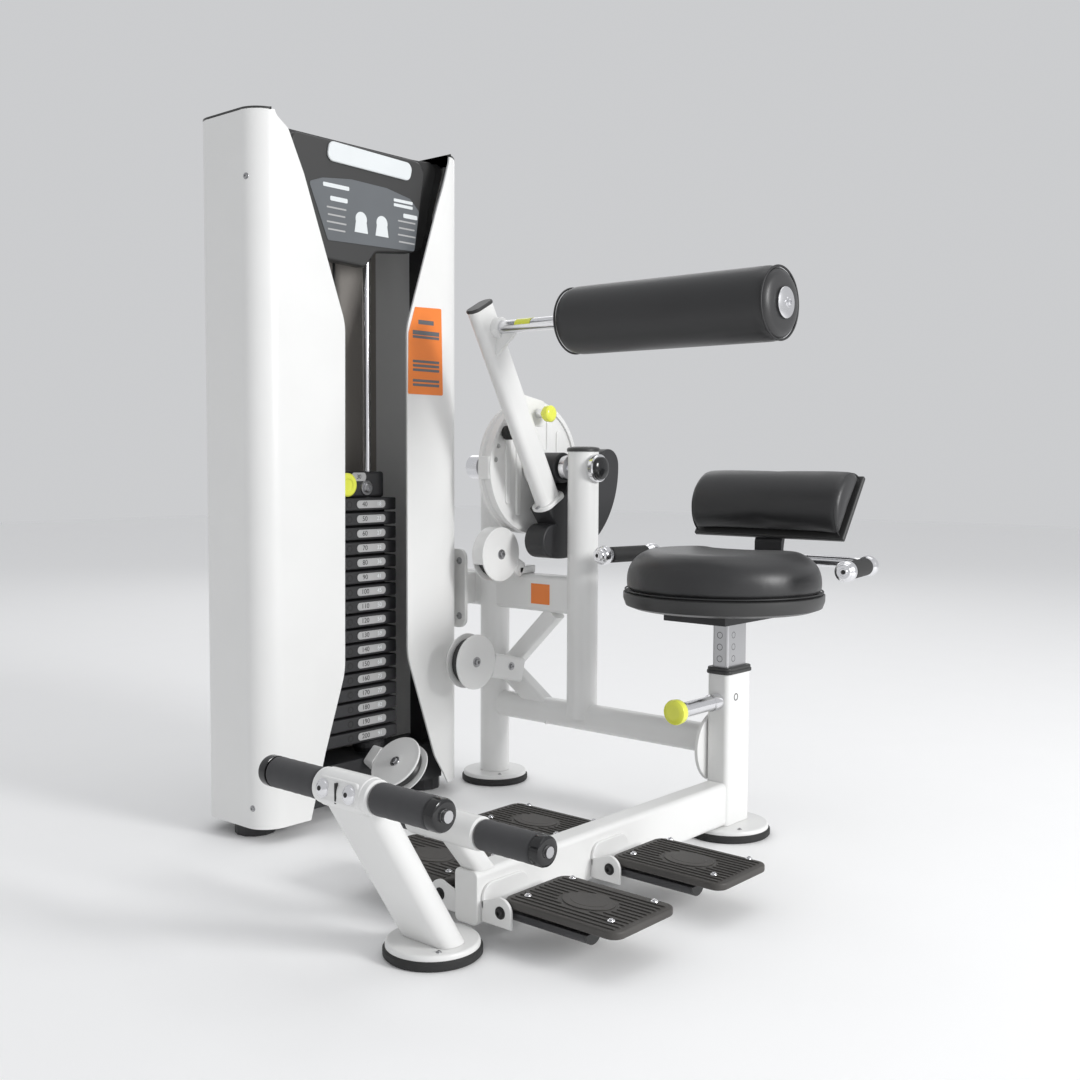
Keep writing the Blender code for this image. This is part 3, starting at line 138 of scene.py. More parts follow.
# ---- materials -----------------------------------------------------------------------------
def finish_material(name, colour, roughness, metallic=0.0, grain=400.0, bump=0.05, depth=0.0003,
                    tone=0.04, rough_spread=0.06, kind="noise", coat=0.0, sheen=0.0):
    """Principled finish with a fine relief, a slow change of tone and uneven gloss."""
    if name in bpy.data.materials:
        return bpy.data.materials[name]
    mat = bpy.data.materials.new(name)
    mat.use_nodes = True
    nodes = mat.node_tree.nodes
    links = mat.node_tree.links
    shader = nodes["Principled BSDF"]
    shader.inputs["Metallic"].default_value = metallic
    shader.inputs["Coat Weight"].default_value = coat
    shader.inputs["Coat Roughness"].default_value = 0.15
    shader.inputs["Sheen Weight"].default_value = sheen
    place = nodes.new("ShaderNodeTexCoord")
    if kind == "cells":
        relief = nodes.new("ShaderNodeTexVoronoi")
        relief.inputs["Scale"].default_value = grain
        relief_out = relief.outputs["Distance"]
    else:
        relief = nodes.new("ShaderNodeTexNoise")
        relief.inputs["Scale"].default_value = grain
        relief.inputs["Detail"].default_value = 4.0
        relief_out = relief.outputs["Fac"]
    links.new(place.outputs["Object"], relief.inputs["Vector"])
    if kind == "brushed":
        stretch = nodes.new("ShaderNodeMapping")
        stretch.inputs["Scale"].default_value = (0.05, 1.0, 1.0)
        links.new(place.outputs["Object"], stretch.inputs["Vector"])
        links.new(stretch.outputs["Vector"], relief.inputs["Vector"])
    raised = nodes.new("ShaderNodeBump")
    raised.inputs["Strength"].default_value = bump
    raised.inputs["Distance"].default_value = depth
    links.new(relief_out, raised.inputs["Height"])
    links.new(raised.outputs["Normal"], shader.inputs["Normal"])
    slow = nodes.new("ShaderNodeTexNoise")
    slow.inputs["Scale"].default_value = 7.0
    slow.inputs["Detail"].default_value = 3.0
    links.new(place.outputs["Object"], slow.inputs["Vector"])
    shade = nodes.new("ShaderNodeValToRGB")
    shade.color_ramp.elements[0].position = 0.3
    shade.color_ramp.elements[1].position = 0.7
    shade.color_ramp.elements[0].color = (*[c * (1 - tone) for c in colour], 1.0)
    shade.color_ramp.elements[1].color = (*[min(1.0, c * (1 + tone)) for c in colour], 1.0)
    links.new(slow.outputs["Fac"], shade.inputs["Fac"])
    links.new(shade.outputs["Color"], shader.inputs["Base Color"])
    gloss = nodes.new("ShaderNodeMapRange")
    gloss.inputs["To Min"].default_value = max(0.02, roughness - rough_spread)
    gloss.inputs["To Max"].default_value = min(1.0, roughness + rough_spread)
    links.new(slow.outputs["Fac"], gloss.inputs["Value"])
    links.new(gloss.outputs["Result"], shader.inputs["Roughness"])
    return mat


def white_paint():
    look = bpy.context.scene.machine_finish
    return finish_material("white_powder_coat", look.paint, 0.34, grain=1400.0, bump=look.paint_texture,
                           depth=0.0002, tone=0.012, coat=0.15)


def black_plastic():
    return finish_material("black_plastic", (0.020, 0.020, 0.021), 0.42, grain=1600.0, bump=0.12, tone=0.10)


def gloss_black():
    return finish_material("gloss_black_plastic", (0.015, 0.015, 0.016), 0.16, grain=300.0, bump=0.02,
                           tone=0.10)


def cast_black():
    return finish_material("black_cast_iron", (0.024, 0.024, 0.026), 0.46, grain=700.0, bump=0.30,
                           depth=0.0005,
                           tone=0.15)


def vinyl():
    look = bpy.context.scene.machine_finish
    return finish_material("black_vinyl", look.vinyl, 0.40, grain=look.vinyl_grain, bump=0.22, depth=0.0004,
                           tone=0.10, kind="cells", sheen=0.08)


def seam_cord():
    return finish_material("vinyl_piping", (0.018, 0.018, 0.019), 0.50, grain=1500.0, bump=0.2, kind="cells")


def foam():
    look = bpy.context.scene.machine_finish
    return finish_material("grey_foam", look.foam, 0.88, grain=1100.0, bump=0.5, depth=0.0005, tone=0.12,
                           kind="cells", sheen=0.1)


def rubber():
    return finish_material("black_rubber", (0.020, 0.020, 0.020), 0.68, grain=900.0, bump=0.2, tone=0.12)


def chrome():
    return finish_material("chrome", (0.78, 0.78, 0.80), 0.10, metallic=1.0, grain=200.0, bump=0.01,
                           tone=0.02,
                           rough_spread=0.03)


def steel():
    return finish_material("brushed_steel", (0.50, 0.50, 0.51), 0.32, metallic=1.0, grain=900.0, bump=0.08,
                           tone=0.05, kind="brushed")


def bolt_steel():
    return finish_material("zinc_bolt", (0.42, 0.42, 0.43), 0.35, metallic=1.0, grain=700.0, bump=0.05,
                           tone=0.08)


def tread():
    look = bpy.context.scene.machine_finish
    return finish_material("dark_grey_tread", look.tread, 0.55, grain=1200.0, bump=0.3, tone=0.15)


def yellow():
    look = bpy.context.scene.machine_finish
    return finish_material("yellow_plastic", look.knob, 0.30, grain=500.0, bump=0.03, tone=0.03, coat=0.3)


def accent():
    look = bpy.context.scene.machine_finish
    return finish_material("plain_accent_panel", look.accent, 0.35, grain=500.0, bump=0.02, tone=0.03,
                           coat=0.2)


def grey_panel():
    # Grey-brown is painted shade: it stands for the inner faces of the covers as they look in shadow.
    return finish_material("painted_shade_back_panel", (0.30, 0.28, 0.26), 0.55, grain=900.0, bump=0.1, tone=0.06)


def label():
    return finish_material("grey_label", (0.42, 0.42, 0.42), 0.40, grain=900.0, bump=0.02, tone=0.04)


def card():
    return finish_material("pale_card", (0.72, 0.75, 0.76), 0.35, grain=900.0, bump=0.02, tone=0.03, coat=0.3)


def card_blue():
    return finish_material("card_blue", (0.20, 0.36, 0.48), 0.35, grain=900.0, bump=0.02, tone=0.05, coat=0.3)


def card_dark():
    return finish_material("card_dark", (0.12, 0.13, 0.14), 0.35, grain=900.0, bump=0.02, tone=0.05, coat=0.3)


# ---- finishes: a material with the slot it stands in ----------------------------------------
def black():
    return black_plastic(), "black_plastic"


def white():
    return white_paint(), "white_paint"


def knob_finish():
    return yellow(), "yellow_plastic"


def cast():
    return cast_black(), "cast_iron"


def tag_grey():
    return label(), "grey_panel"


def card_pale():
    return card(), "grey_panel"


def rubbery():
    return rubber(), "rubber"


def bright():
    return chrome(), "chrome"


def steely():
    return steel(), "steel"


def ribbed():
    return tread(), "tread"


def leather():
    return vinyl(), "vinyl"


# ---- shape helpers -------------------------------------------------------------------------
def axes_matrix(origin, side, normal):
    """Matrix whose local Z is the normal and whose local X is as near as can be to side."""
    z_axis = Vector(normal).normalized()
    x_axis = Vector(side)
    x_axis = (x_axis - z_axis * x_axis.dot(z_axis)).normalized()
    y_axis = z_axis.cross(x_axis)
    matrix = Matrix((x_axis, y_axis, z_axis)).transposed().to_4x4()
    matrix.translation = Vector(origin)
    return matrix


def add_piece(name, mesh, matrix, body, mat, slot, stands_for=()):
    """Link a mesh as a piece that moves with a body."""
    piece = bpy.data.objects.new(name, mesh)
    bpy.context.scene.collection.objects.link(piece)
    piece.matrix_world = matrix
    mesh.materials.append(mat)
    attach(piece, body)
    if stands_for:
        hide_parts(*stands_for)
    return piece


def soften(piece, width, segments=3):
    """Rounded edges with clean shading."""
    if width > 0:
        bevel = piece.modifiers.new("rounded edges", "BEVEL")
        bevel.width = width
        bevel.segments = segments
        bevel.limit_method = "ANGLE"
        bevel.angle_limit = math.radians(32)
    piece.data.shade_smooth()
    piece.data.set_sharp_from_angle(angle=math.radians(38))
    weighted = piece.modifiers.new("clean shading", "WEIGHTED_NORMAL")
    weighted.keep_sharp = True
    return piece


def arc(centre, radius, start, end, steps):
    """Points of a round stretch, angles in degrees."""
    points = []
    for i in range(steps + 1):
        angle = math.radians(start + (end - start) * i / steps)
        points.append((centre[0] + radius * math.cos(angle), centre[1] + radius * math.sin(angle)))
    return points


def rounded(corners, radius, steps=8):
    """Closed outline whose corners are rounded: radius is one value or one for each corner."""
    outline = []
    count = len(corners)
    radii = radius if isinstance(radius, (list, tuple)) else [radius] * count
    for i in range(count):
        here = Vector(corners[i])
        before = (Vector(corners[i - 1]) - here).normalized()
        after = (Vector(corners[(i + 1) % count]) - here).normalized()
        if radii[i] <= 0:
            outline.append(tuple(here))
            continue
        half = before.angle(after) / 2
        reach = radii[i] / math.tan(half)
        centre = here + (before + after).normalized() * (radii[i] / math.sin(half))
        first = here + before * reach - centre
        last = here + after * reach - centre
        turn = first.angle_signed(last)
        for k in range(steps + 1):
            outline.append(tuple(centre + Matrix.Rotation(-turn * k / steps, 2) @ first))
    return outline


def rectangle(width, height, radius, steps=8):
    w = width / 2
    h = height / 2
    return rounded([(w, -h), (w, h), (-w, h), (-w, -h)], radius, steps)


def slab_mesh(name, outline, depth, holes=()):
    """Flat outline extruded by depth about its middle plane, with round holes through it."""
    mesh = bpy.data.meshes.new(name)
    bm = bmesh.new()
    loops = [outline] + [arc(centre, radius, 0, 360, 24)[:-1] for centre, radius in holes]
    edges = []
    for loop in loops:
        verts = [bm.verts.new((x, y, -depth / 2)) for x, y in loop]
        edges += [bm.edges.new((verts[i - 1], verts[i])) for i in range(len(verts))]
    if holes:
        bmesh.ops.triangle_fill(bm, use_beauty=True, use_dissolve=True, edges=edges)
    else:
        bm.faces.new([e.verts[1] for e in edges])
    grown = bmesh.ops.extrude_face_region(bm, geom=list(bm.faces))
    moved = [g for g in grown["geom"] if isinstance(g, bmesh.types.BMVert)]
    bmesh.ops.translate(bm, vec=(0, 0, depth), verts=moved)
    bmesh.ops.recalc_face_normals(bm, faces=list(bm.faces))
    bm.to_mesh(mesh)
    bm.free()
    return mesh


def slab(name, outline, matrix, depth, body, mat, slot, edge=0.001, stands_for=(), holes=()):
    mesh = slab_mesh(name, outline, depth, holes)
    return soften(add_piece(name, mesh, matrix, body, mat, slot, stands_for), edge)


def block(name, low, high, body, mat, slot, edge=0.0015, stands_for=()):
    """Box between two corners with rounded edges."""
    low = Vector(low)
    high = Vector(high)
    size = high - low
    outline = [(size.x / 2, -size.y / 2), (size.x / 2, size.y / 2), (-size.x / 2, size.y / 2),
               (-size.x / 2, -size.y / 2)]
    matrix = Matrix.Translation((low + high) / 2)
    return slab(name, outline, matrix, size.z, body, mat, slot, edge, stands_for)


def bar(name, start, end, side, width, height, radius, body, mat, slot, edge=0.001, stands_for=()):
    """Straight tube with a rounded rectangular section: width along side."""
    start = Vector(start)
    end = Vector(end)
    matrix = axes_matrix((start + end) / 2, side, end - start)
    outline = rectangle(width, height, radius)
    return slab(name, outline, matrix, (end - start).length, body, mat, slot, edge, stands_for)


def lathe(name, centre, axis, profile, body, mat, slot, stands_for=(), closed=False, steps=64, edge=0.0):
    """Profile of (radius, height) pairs turned about an axis."""
    mesh = bpy.data.meshes.new(name)
    bm = bmesh.new()
    verts = [bm.verts.new((radius, 0.0, height)) for radius, height in profile]
    edges = [bm.edges.new((a, b)) for a, b in zip(verts, verts[1:])]
    if closed:
        edges.append(bm.edges.new((verts[-1], verts[0])))
    bmesh.ops.spin(bm, geom=verts + edges, cent=(0, 0, 0), axis=(0, 0, 1), angle=math.tau, steps=steps,
                   use_merge=True)
    bmesh.ops.remove_doubles(bm, verts=list(bm.verts), dist=0.000001)
    bmesh.ops.recalc_face_normals(bm, faces=list(bm.faces))
    bm.to_mesh(mesh)
    bm.free()
    matrix = axes_matrix(centre, (0.12, 0.97, 0.2), axis)
    return soften(add_piece(name, mesh, matrix, body, mat, slot, stands_for), edge)


def disc_profile(radius, height, edge):
    """Solid disc from height 0 up with a rounded upper rim."""
    rim = [(radius - edge + edge * math.cos(a), height - edge + edge * math.sin(a))
           for a in [math.pi / 2 * k / 4 for k in range(4, -1, -1)]]
    return [(0, height)] + rim + [(radius, 0), (0, 0)]


def disc(name, centre, axis, radius, height, body, mat, slot, edge=0.001, stands_for=()):
    """Round boss standing on centre, out along axis."""
    return lathe(name, centre, axis, disc_profile(radius, height, edge), body, mat, slot, stands_for)


def bolt(name, centre, axis, radius, body, mat=None):
    """Round bolt head on a washer with a hexagon socket."""
    mat = mat or bolt_steel()
    head = radius * 0.62
    socket = radius * 0.30
    tall = radius * 0.55
    profile = [(0, tall * 0.45), (socket, tall * 0.45), (socket, tall), (head * 0.8, tall),
               (head, tall * 0.75),
               (head, radius * 0.16), (radius * 0.94, radius * 0.16), (radius, radius * 0.08), (radius, 0),
               (0, 0)]
    return lathe(name, centre, axis, profile, body, mat, "steel", steps=24)


def pipe(name, points, radius, body, mat, slot, stands_for=(), closed=False, sides=4):
    """Round bar along points."""
    curve = bpy.data.curves.new(name, "CURVE")
    curve.dimensions = "3D"
    curve.bevel_depth = radius
    curve.bevel_resolution = sides
    curve.use_fill_caps = True
    spline = curve.splines.new("POLY")
    spline.points.add(len(points) - 1)
    for point, place in zip(spline.points, points):
        point.co = (*place, 1.0)
    spline.use_cyclic_u = closed
    spline.use_smooth = True
    piece = bpy.data.objects.new(name, curve)
    bpy.context.scene.collection.objects.link(piece)
    curve.materials.append(mat)
    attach(piece, body)
    if stands_for:
        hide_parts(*stands_for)
    return piece


def smooth_path(route, count):
    """Points on a smooth curve through the route, count to each stretch."""
    path = []
    ends = [route[0]] + list(route) + [route[-1]]
    for a, b, c, d in zip(ends, ends[1:], ends[2:], ends[3:]):
        a, b, c, d = Vector(a), Vector(b), Vector(c), Vector(d)
        for i in range(count):
            t = i / count
            path.append((b * 2 + (c - a) * t + (a * 2 - b * 5 + c * 4 - d) * t ** 2
                         + (b * 3 - a - c * 3 + d) * t ** 3) / 2)
    path.append(Vector(route[-1]))
    return path


def side_view(x):
    """Matrix of an outline drawn in Y and Z and extruded along X."""
    return axes_matrix((x, 0, 0), ALONG_Y, ALONG_X)


def plan_view(z):
    """Matrix of an outline drawn in X and Y and extruded along Z."""
    return axes_matrix((0, 0, z), ALONG_X, ALONG_Z)


def repaint(node, mat):
    """Better material on a CAD node whose shape stays."""
    obj = frame["nodes"][node]
    obj.data.materials.clear()
    obj.data.materials.append(mat)


# ---- weight tower --------------------------------------------------------------------------
def shroud_outline(node, direction, thick=0.005):
    """U of a side cover in plan, from the node's box."""
    low = low_of(node)
    high = high_of(node)
    face = low.y if direction < 0 else high.y
    open_y = high.y if direction < 0 else low.y
    corner = 0.055 if direction < 0 else 0.1135
    outline = []
    for inset in (0.0, thick):
        radius = corner - inset
        centre_y = face - direction * corner
        side = [(high.x - inset, open_y)]
        side += arc((high.x - corner, centre_y), radius, 0, 90 * direction, 20)
        side += arc((low.x + corner, centre_y), radius, 90 * direction, 180 * direction, 20)
        side += [(low.x + inset, open_y)]
        outline += side if inset == 0.0 else side[::-1]
    return outline


def cover_edge(direction):
    """Edge of the opening in Y and Z, from top to bottom, with its corners rounded."""
    if direction < 0:
        corners = [(-0.715, 1.600), (-0.701, 1.541), (-0.669, 1.518), (-0.628, 1.431), (-0.517, 1.125),
                   (-0.523, 0.347),
                   (-0.580, 0.175), (-0.628, 0.010)]
    else:
        corners = [(-0.182, 1.600), (-0.185, 1.539), (-0.228, 1.429), (-0.330, 1.132), (-0.330, 0.361),
                   (-0.241, 0.105),
                   (-0.180, 0.010)]
    far = STACK_Y - direction * 0.3
    radii = [0, 0] + [0.02] * (len(corners) - 5) + [0.12, 0.16, 0.10, 0, 0]
    return rounded([(far, 1.600)] + corners + [(far, 0.010)], radii, 10)


STACK_Y = middle_of("weight_stack").y


def shroud(node, direction):
    """Curved side cover cut along the rounded edge of the opening, with a rolled lip."""
    low = low_of(node)
    high = high_of(node)
    centre_x = (high.x + low.x) / 2
    mesh = slab_mesh(node + "_cover", shroud_outline(node, direction), high.z - low.z)
    cover = add_piece(node + "_cover", mesh, plan_view((low.z + high.z) / 2), "frame", *white(),
                      (node,))
    window_mesh = slab_mesh(node + "_window", cover_edge(direction), 0.30)
    window = bpy.data.objects.new(node + "_window", window_mesh)
    bpy.context.scene.collection.objects.link(window)
    window.matrix_world = side_view(centre_x + 0.15)
    cutter = cover.modifiers.new("opening", "BOOLEAN")
    cutter.operation = "DIFFERENCE"
    cutter.object = window
    bpy.context.view_layer.update()
    graph = bpy.context.evaluated_depsgraph_get()
    shaped = bpy.data.meshes.new_from_object(cover.evaluated_get(graph))
    cover.modifiers.clear()
    cover.data = shaped
    bpy.data.objects.remove(window, do_unlink=True)
    soften(cover, 0.0012, 2)
    reach = -0.712 if direction < 0 else -0.186
    rim = [(x, y if y * direction > reach * direction else reach) for x,
           y in shroud_outline(node, direction, 0.007)]
    slab(node + "_gasket", rim, plan_view(high.z + 0.0015), 0.005, "frame", *black(), 0.001)
    return cover


def build_covers():
    shroud("shroud_front", -1)
    shroud("shroud_rear", 1)
    x = high_of("shroud_front").x
    front = low_of("shroud_front")
    for z in (front.z + 0.045, 1.412):
        out = Vector((0.26, -0.966, 0)).normalized()
        spot = Vector((x - 0.055, front.y + 0.055, z)) + out * 0.0545
        bolt(f"cover_screw_{round(z * 1000)}", spot, out, 0.007, "frame")
    panel = rounded([(-0.328, 0.978), (-0.214, 0.978), (-0.219, 1.184), (-0.305, 1.181), (-0.326, 1.120)],
                    0.004)
    slab("cover_accent_panel", panel, side_view(x + 0.0004), 0.0016, "frame", accent(), "yellow_plastic",
         0.0005)
    for k, z in enumerate((1.147, 1.122, 1.112, 1.055, 1.045, 1.035, 1.010, 1.000)):
        line = rectangle(0.086 if k else 0.050, 0.006 if k > 1 else 0.010, 0.0005)
        slab(f"cover_accent_line_{k}", line, axes_matrix((x + 0.0012, -0.270, z), ALONG_Y, ALONG_X), 0.0006,
             "frame",
             card_dark(), "grey_panel", 0.0)
    low = low_of("back_panel")
    high = high_of("back_panel")
    gap = 0.030
    # The two halves take the grey-brown painted shade of the covers' shaded inner faces.
    for name, a, b in (("front", low.y, STACK_Y - gap), ("rear", STACK_Y + gap, high.y)):
        block("back_panel_" + name, (low.x, a, low.z), (high.x, b, high.z), "frame", grey_panel(),
              "grey_panel", 0.001,
              ("back_panel",) if name == "front" else ())
    block("back_panel_gap", (low.x - 0.001, STACK_Y - gap, low.z), (low.x + 0.002, STACK_Y + gap, high.z),
          "frame",
          *black(), 0.0005)


def build_header():
    """Layered housing with its stepped lip, the plain card, a plain plaque and generic blocks."""
    front = [(-0.630, 1.530), (-0.630, 1.262), (-0.534, 1.267), (-0.420, 1.263), (-0.389, 1.301),
             (-0.266, 1.314), (-0.228, 1.530)]
    face_x = high_of("header").x
    slab("header_face", rounded(front, [0.02, 0.02, 0.01, 0.015, 0.015, 0.02, 0.03]),
         side_view(face_x - 0.015), 0.030,
         "frame", *black(), 0.005, ("header",))
    middle = rounded([(-0.640, 1.528), (-0.640, 1.300), (-0.215, 1.330), (-0.160, 1.547), (-0.300, 1.536)],
                     0.02)
    slab("header_middle", middle, side_view(face_x - 0.0345), 0.009, "frame", *black(), 0.003)
    back = rounded([(-0.660, 1.526), (-0.660, 1.340), (-0.190, 1.360), (-0.130, 1.549), (-0.260, 1.542)],
                   0.02)
    slab("header_back", back, side_view(face_x - 0.041), 0.009, "frame", *black(), 0.003)
    plate = [(-0.584, 1.429), (-0.546, 1.443), (-0.464, 1.453), (-0.357, 1.451), (-0.283, 1.438),
             (-0.254, 1.413),
             (-0.269, 1.317), (-0.532, 1.309)]
    slab("header_card", rounded(plate, 0.006), side_view(face_x + 0.0006), 0.0016, "frame", card_dark(),
         "grey_panel",
         0.0004)
    slab("header_plaque", rounded([(-0.536, 1.483), (-0.286, 1.478), (-0.276, 1.520), (-0.528, 1.527)],
                                  0.016),
         side_view(face_x + 0.0025), 0.006, "frame", *card_pale(), 0.0025)
    for row, (y, width, z, high) in enumerate(((-0.545, 0.075, 1.430, 0.009), (-0.335, 0.060, 1.428, 0.007),
                                               (-0.335, 0.060, 1.417, 0.007), (-0.525, 0.050, 1.402, 0.010),
                                               (-0.305, 0.045, 1.396, 0.010))):
        spot = (face_x + 0.0014, y + width / 2, z)
        slab(f"card_block_{row}", rectangle(width, high, high * 0.3), axes_matrix(spot, ALONG_Y, ALONG_X),
             0.0006,
             "frame", *card_pale(), 0.0)
    for side, y in (("a", -0.535), ("b", -0.322)):
        for k in range(4):
            spot = (face_x + 0.0014, y + 0.028, 1.382 - 0.016 * k)
            slab(f"card_line_{side}_{k}", rectangle(0.056 - 0.006 * (k % 2), 0.0035, 0.001),
                 axes_matrix(spot, ALONG_Y, ALONG_X), 0.0006, "frame", *tag_grey(), 0.0)
    for k, y in enumerate((-0.435, -0.372)):
        shape = arc((y, 1.368), 0.017, 200, -20, 16) + [(y + 0.020, 1.338), (y - 0.020, 1.338)]
        slab(f"card_picture_{k}", shape, side_view(face_x + 0.0014), 0.0006, "frame", *card_pale(), 0.0)


def number_text(name, words, centre, height, body, mat):
    """Plain raised number facing +X."""
    curve = bpy.data.curves.new(name, "FONT")
    curve.body = words
    curve.size = height
    curve.extrude = 0.0002
    curve.align_x = "CENTER"
    curve.align_y = "CENTER"
    piece = bpy.data.objects.new(name, curve)
    bpy.context.scene.collection.objects.link(piece)
    piece.matrix_world = axes_matrix(centre, ALONG_Y, ALONG_X)
    curve.materials.append(mat)
    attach(piece, body)
    return piece


def build_stack():
    """Seventeen rounded plates with bored fronts and numbered labels."""
    low = low_of("weight_stack")
    high = high_of("weight_stack")
    count = 17
    thick = 0.029
    pitch = (high.z - low.z - thick) / (count - 1)
    for i in range(count):
        z = low.z + i * pitch
        block(f"stack_plate_{i + 1}", (low.x, low.y, z), (high.x, high.y, z + thick), "frame", *cast(),
              0.003, ("weight_stack",) if i == 0 else ())
        middle_z = z + thick / 2
        lathe(f"pin_hole_{i + 1}", (high.x, STACK_Y, middle_z), ALONG_X,
              [(0.0052, -0.003), (0.0052, 0.0002), (0.0085, 0.0004), (0.0092, -0.0010)], "frame", *rubbery(),
              steps=24)
        spot = Vector((high.x + 0.0004, STACK_Y + 0.066, middle_z))
        slab(f"plate_label_{i + 1}", rectangle(0.088, 0.018, 0.0088), axes_matrix(spot, ALONG_Y, ALONG_X),
             0.0012, "frame",
             *tag_grey(), 0.0003)
        number_text(f"plate_number_{i + 1}", str((count - i) * 10 + 30), spot + Vector((0.0007, -0.020, 0)),
                    0.016,
                    "frame", black_plastic())
        number_text(f"plate_kilos_{i + 1}", str(round(((count - i) * 10 + 30) * 0.4536)),
                    spot + Vector((0.0007, 0.024, 0)),
                    0.014, "frame", card())
    block("stack_spine", (low.x + 0.03, low.y + 0.01, low.z), (high.x - 0.03, high.y - 0.01, high.z - 0.001),
          "frame",
          *cast(), 0.001)


def build_head():
    """Head plate with its label, steel disc, stud and clamp, the selector pin and the coiled lanyard."""
    low = low_of("head_plate")
    high = high_of("head_plate")
    stack_top = high_of("weight_stack").z
    centre_x = middle_of("guide_rod_1").x
    top = stack_top + 0.061
    block("head_block", (low.x, low.y, stack_top + 0.001), (high.x, high.y, top), "head", *cast(), 0.006,
          ("head_plate",))
    middle_z = stack_top + 0.031
    lathe("head_stem", (centre_x, STACK_Y, low.z), ALONG_Z,
          disc_profile(0.0125, stack_top - low.z + 0.004, 0.001), "head",
          *steely(), steps=32)
    lathe("head_stud", (centre_x, STACK_Y, top - 0.002), ALONG_Z,
          disc_profile(0.009, high.z - top + 0.002, 0.002), "head",
          *steely(), steps=32)
    lathe("head_nut", (centre_x, STACK_Y, top), ALONG_Z, disc_profile(0.015, 0.012, 0.002), "head",
          bolt_steel(), "steel",
          steps=6)
    face = high.x
    bolt("head_bolt", (face, STACK_Y + 0.073, middle_z - 0.008), ALONG_X, 0.018, "head", steel())
    slab("head_label", rectangle(0.045, 0.020, 0.009), axes_matrix((face + 0.0005, STACK_Y + 0.050,
                                                                    middle_z + 0.018),
         ALONG_Y, ALONG_X), 0.0012, "head", *tag_grey(), 0.0003)
    number_text("head_number", "30", (face + 0.0013, STACK_Y + 0.050, middle_z + 0.018), 0.014, "head",
                black_plastic())
    pin_low = low_of("selector_pin")
    pin_high = high_of("selector_pin")
    spot = Vector((face + 0.0006, STACK_Y, middle_z))
    knob_r = (pin_high.z - pin_low.z) / 2
    length = pin_high.x - spot.x
    profile = [(0, length - 0.003), (knob_r * 0.45, length - 0.0025), (knob_r * 0.55, length),
               (knob_r * 0.84, length),
               (knob_r * 0.97, length - 0.003), (knob_r, length * 0.55), (knob_r * 0.93, 0.003),
               (knob_r * 0.78, 0), (0, 0)]
    lathe("selector_knob", spot, ALONG_X, profile, "pin", *knob_finish(), ("selector_pin",))
    lathe("selector_shaft", (pin_low.x, STACK_Y, middle_z), ALONG_X,
          disc_profile(0.005, spot.x - pin_low.x, 0.001), "pin",
          *steely(), steps=24)
    build_lanyard()


def build_lanyard():
    """Coiled cord wound about a short hanging route."""
    settings = bpy.context.scene.machine_detail
    z = high_of("weight_stack").z + 0.031
    front = high_of("head_plate").x + 0.008
    route = [(front, STACK_Y - 0.036, z + 0.004), (front + 0.004, STACK_Y - 0.045, z - 0.012),
             (front + 0.006, STACK_Y - 0.062, z - 0.018), (front + 0.004, STACK_Y - 0.080, z - 0.008),
             (front, STACK_Y - 0.088, z + 0.008)]
    spine = smooth_path(route, 10)
    steps = settings.lanyard_turns * 12
    coil = []
    for i in range(steps + 1):
        t = i / steps * (len(spine) - 1)
        k = min(int(t), len(spine) - 2)
        here = spine[k].lerp(spine[k + 1], t - k)
        along = (spine[k + 1] - spine[k]).normalized()
        side = along.cross(Vector(ALONG_X)).normalized()
        out = along.cross(side)
        angle = math.tau * i / 12
        coil.append(here + (side * math.cos(angle) + out * math.sin(angle)) * 0.0047)
    pipe("lanyard_coil", coil, 0.0013, "head", *rubbery(), ("lanyard",), sides=2)


def build_inner_frame():
    repaint("tower_frame", cast_black())
    repaint("top_pulley", steel())
    for i in (1, 2):
        low = low_of(f"guide_rod_{i}")
        high = high_of(f"guide_rod_{i}")
        spot = middle_of(f"guide_rod_{i}")
        lathe(f"guide_rod_bar_{i}", (spot.x, spot.y, low.z), ALONG_Z,
              disc_profile(0.0095, high.z - low.z, 0.001), "frame",
              *bright(), (f"guide_rod_{i}",), steps=32)
        bottom = low_of("weight_stack").z
        ring = [(0.0099, 0.033), (0.026, 0.033), (0.036, 0.028), (0.039, 0.017), (0.036, 0.006),
                (0.026, 0.001),
                (0.0099, 0.001)]
        lathe(f"stack_bumper_ring_{i}", (spot.x, spot.y, bottom - 0.0345), ALONG_Z, ring, "frame", *rubbery(),
              closed=True)
    low = low_of("lift_cable")
    high = high_of("lift_cable")
    spot = middle_of("lift_cable")
    meet = high.z - 0.2055
    pipe("lift_cable_run", [(spot.x, spot.y, low.z), (spot.x, spot.y, meet)], 0.0030, "head", *rubbery(),
         ("lift_cable",))
    pipe("lift_cable_top", [(spot.x, spot.y, meet - 0.004), (spot.x, spot.y, high.z)], 0.0034, "frame",
         *rubbery())


# ---- floor frame ---------------------------------------------------------------------------
def build_feet():
    """Steel plate over a rubber ring at each foot, with its small screw."""
    for node in ("seat_foot", "front_foot", "rear_foot"):
        low = low_of(node)
        high = high_of(node)
        centre = (low + high) / 2
        radius = (high.x - low.x) / 2
        ring = [(radius - 0.012, 0.0165), (radius - 0.003, 0.0165), (radius, 0.013), (radius, 0.003),
                (radius - 0.003, 0),
                (radius - 0.012, 0)]
        lathe(node + "_ring", (centre.x, centre.y, 0), ALONG_Z, ring, "frame", *rubbery(), closed=True)
        plate = [(0, high.z)] + [(radius - 0.009 + 0.005 * math.sin(a), high.z - 0.005 + 0.005 * math.cos(a))
                                 for a in (0, 0.5, 1.0, 1.57)] + [(radius - 0.004, 0.0165), (0, 0.0165)]
        lathe(node + "_plate", (centre.x, centre.y, 0), ALONG_Z, plate, "frame", *white(), (node,))
        bolt(node + "_screw", (centre.x + radius * 0.62, centre.y - radius * 0.45, high.z), ALONG_Z, 0.005,
             "frame")


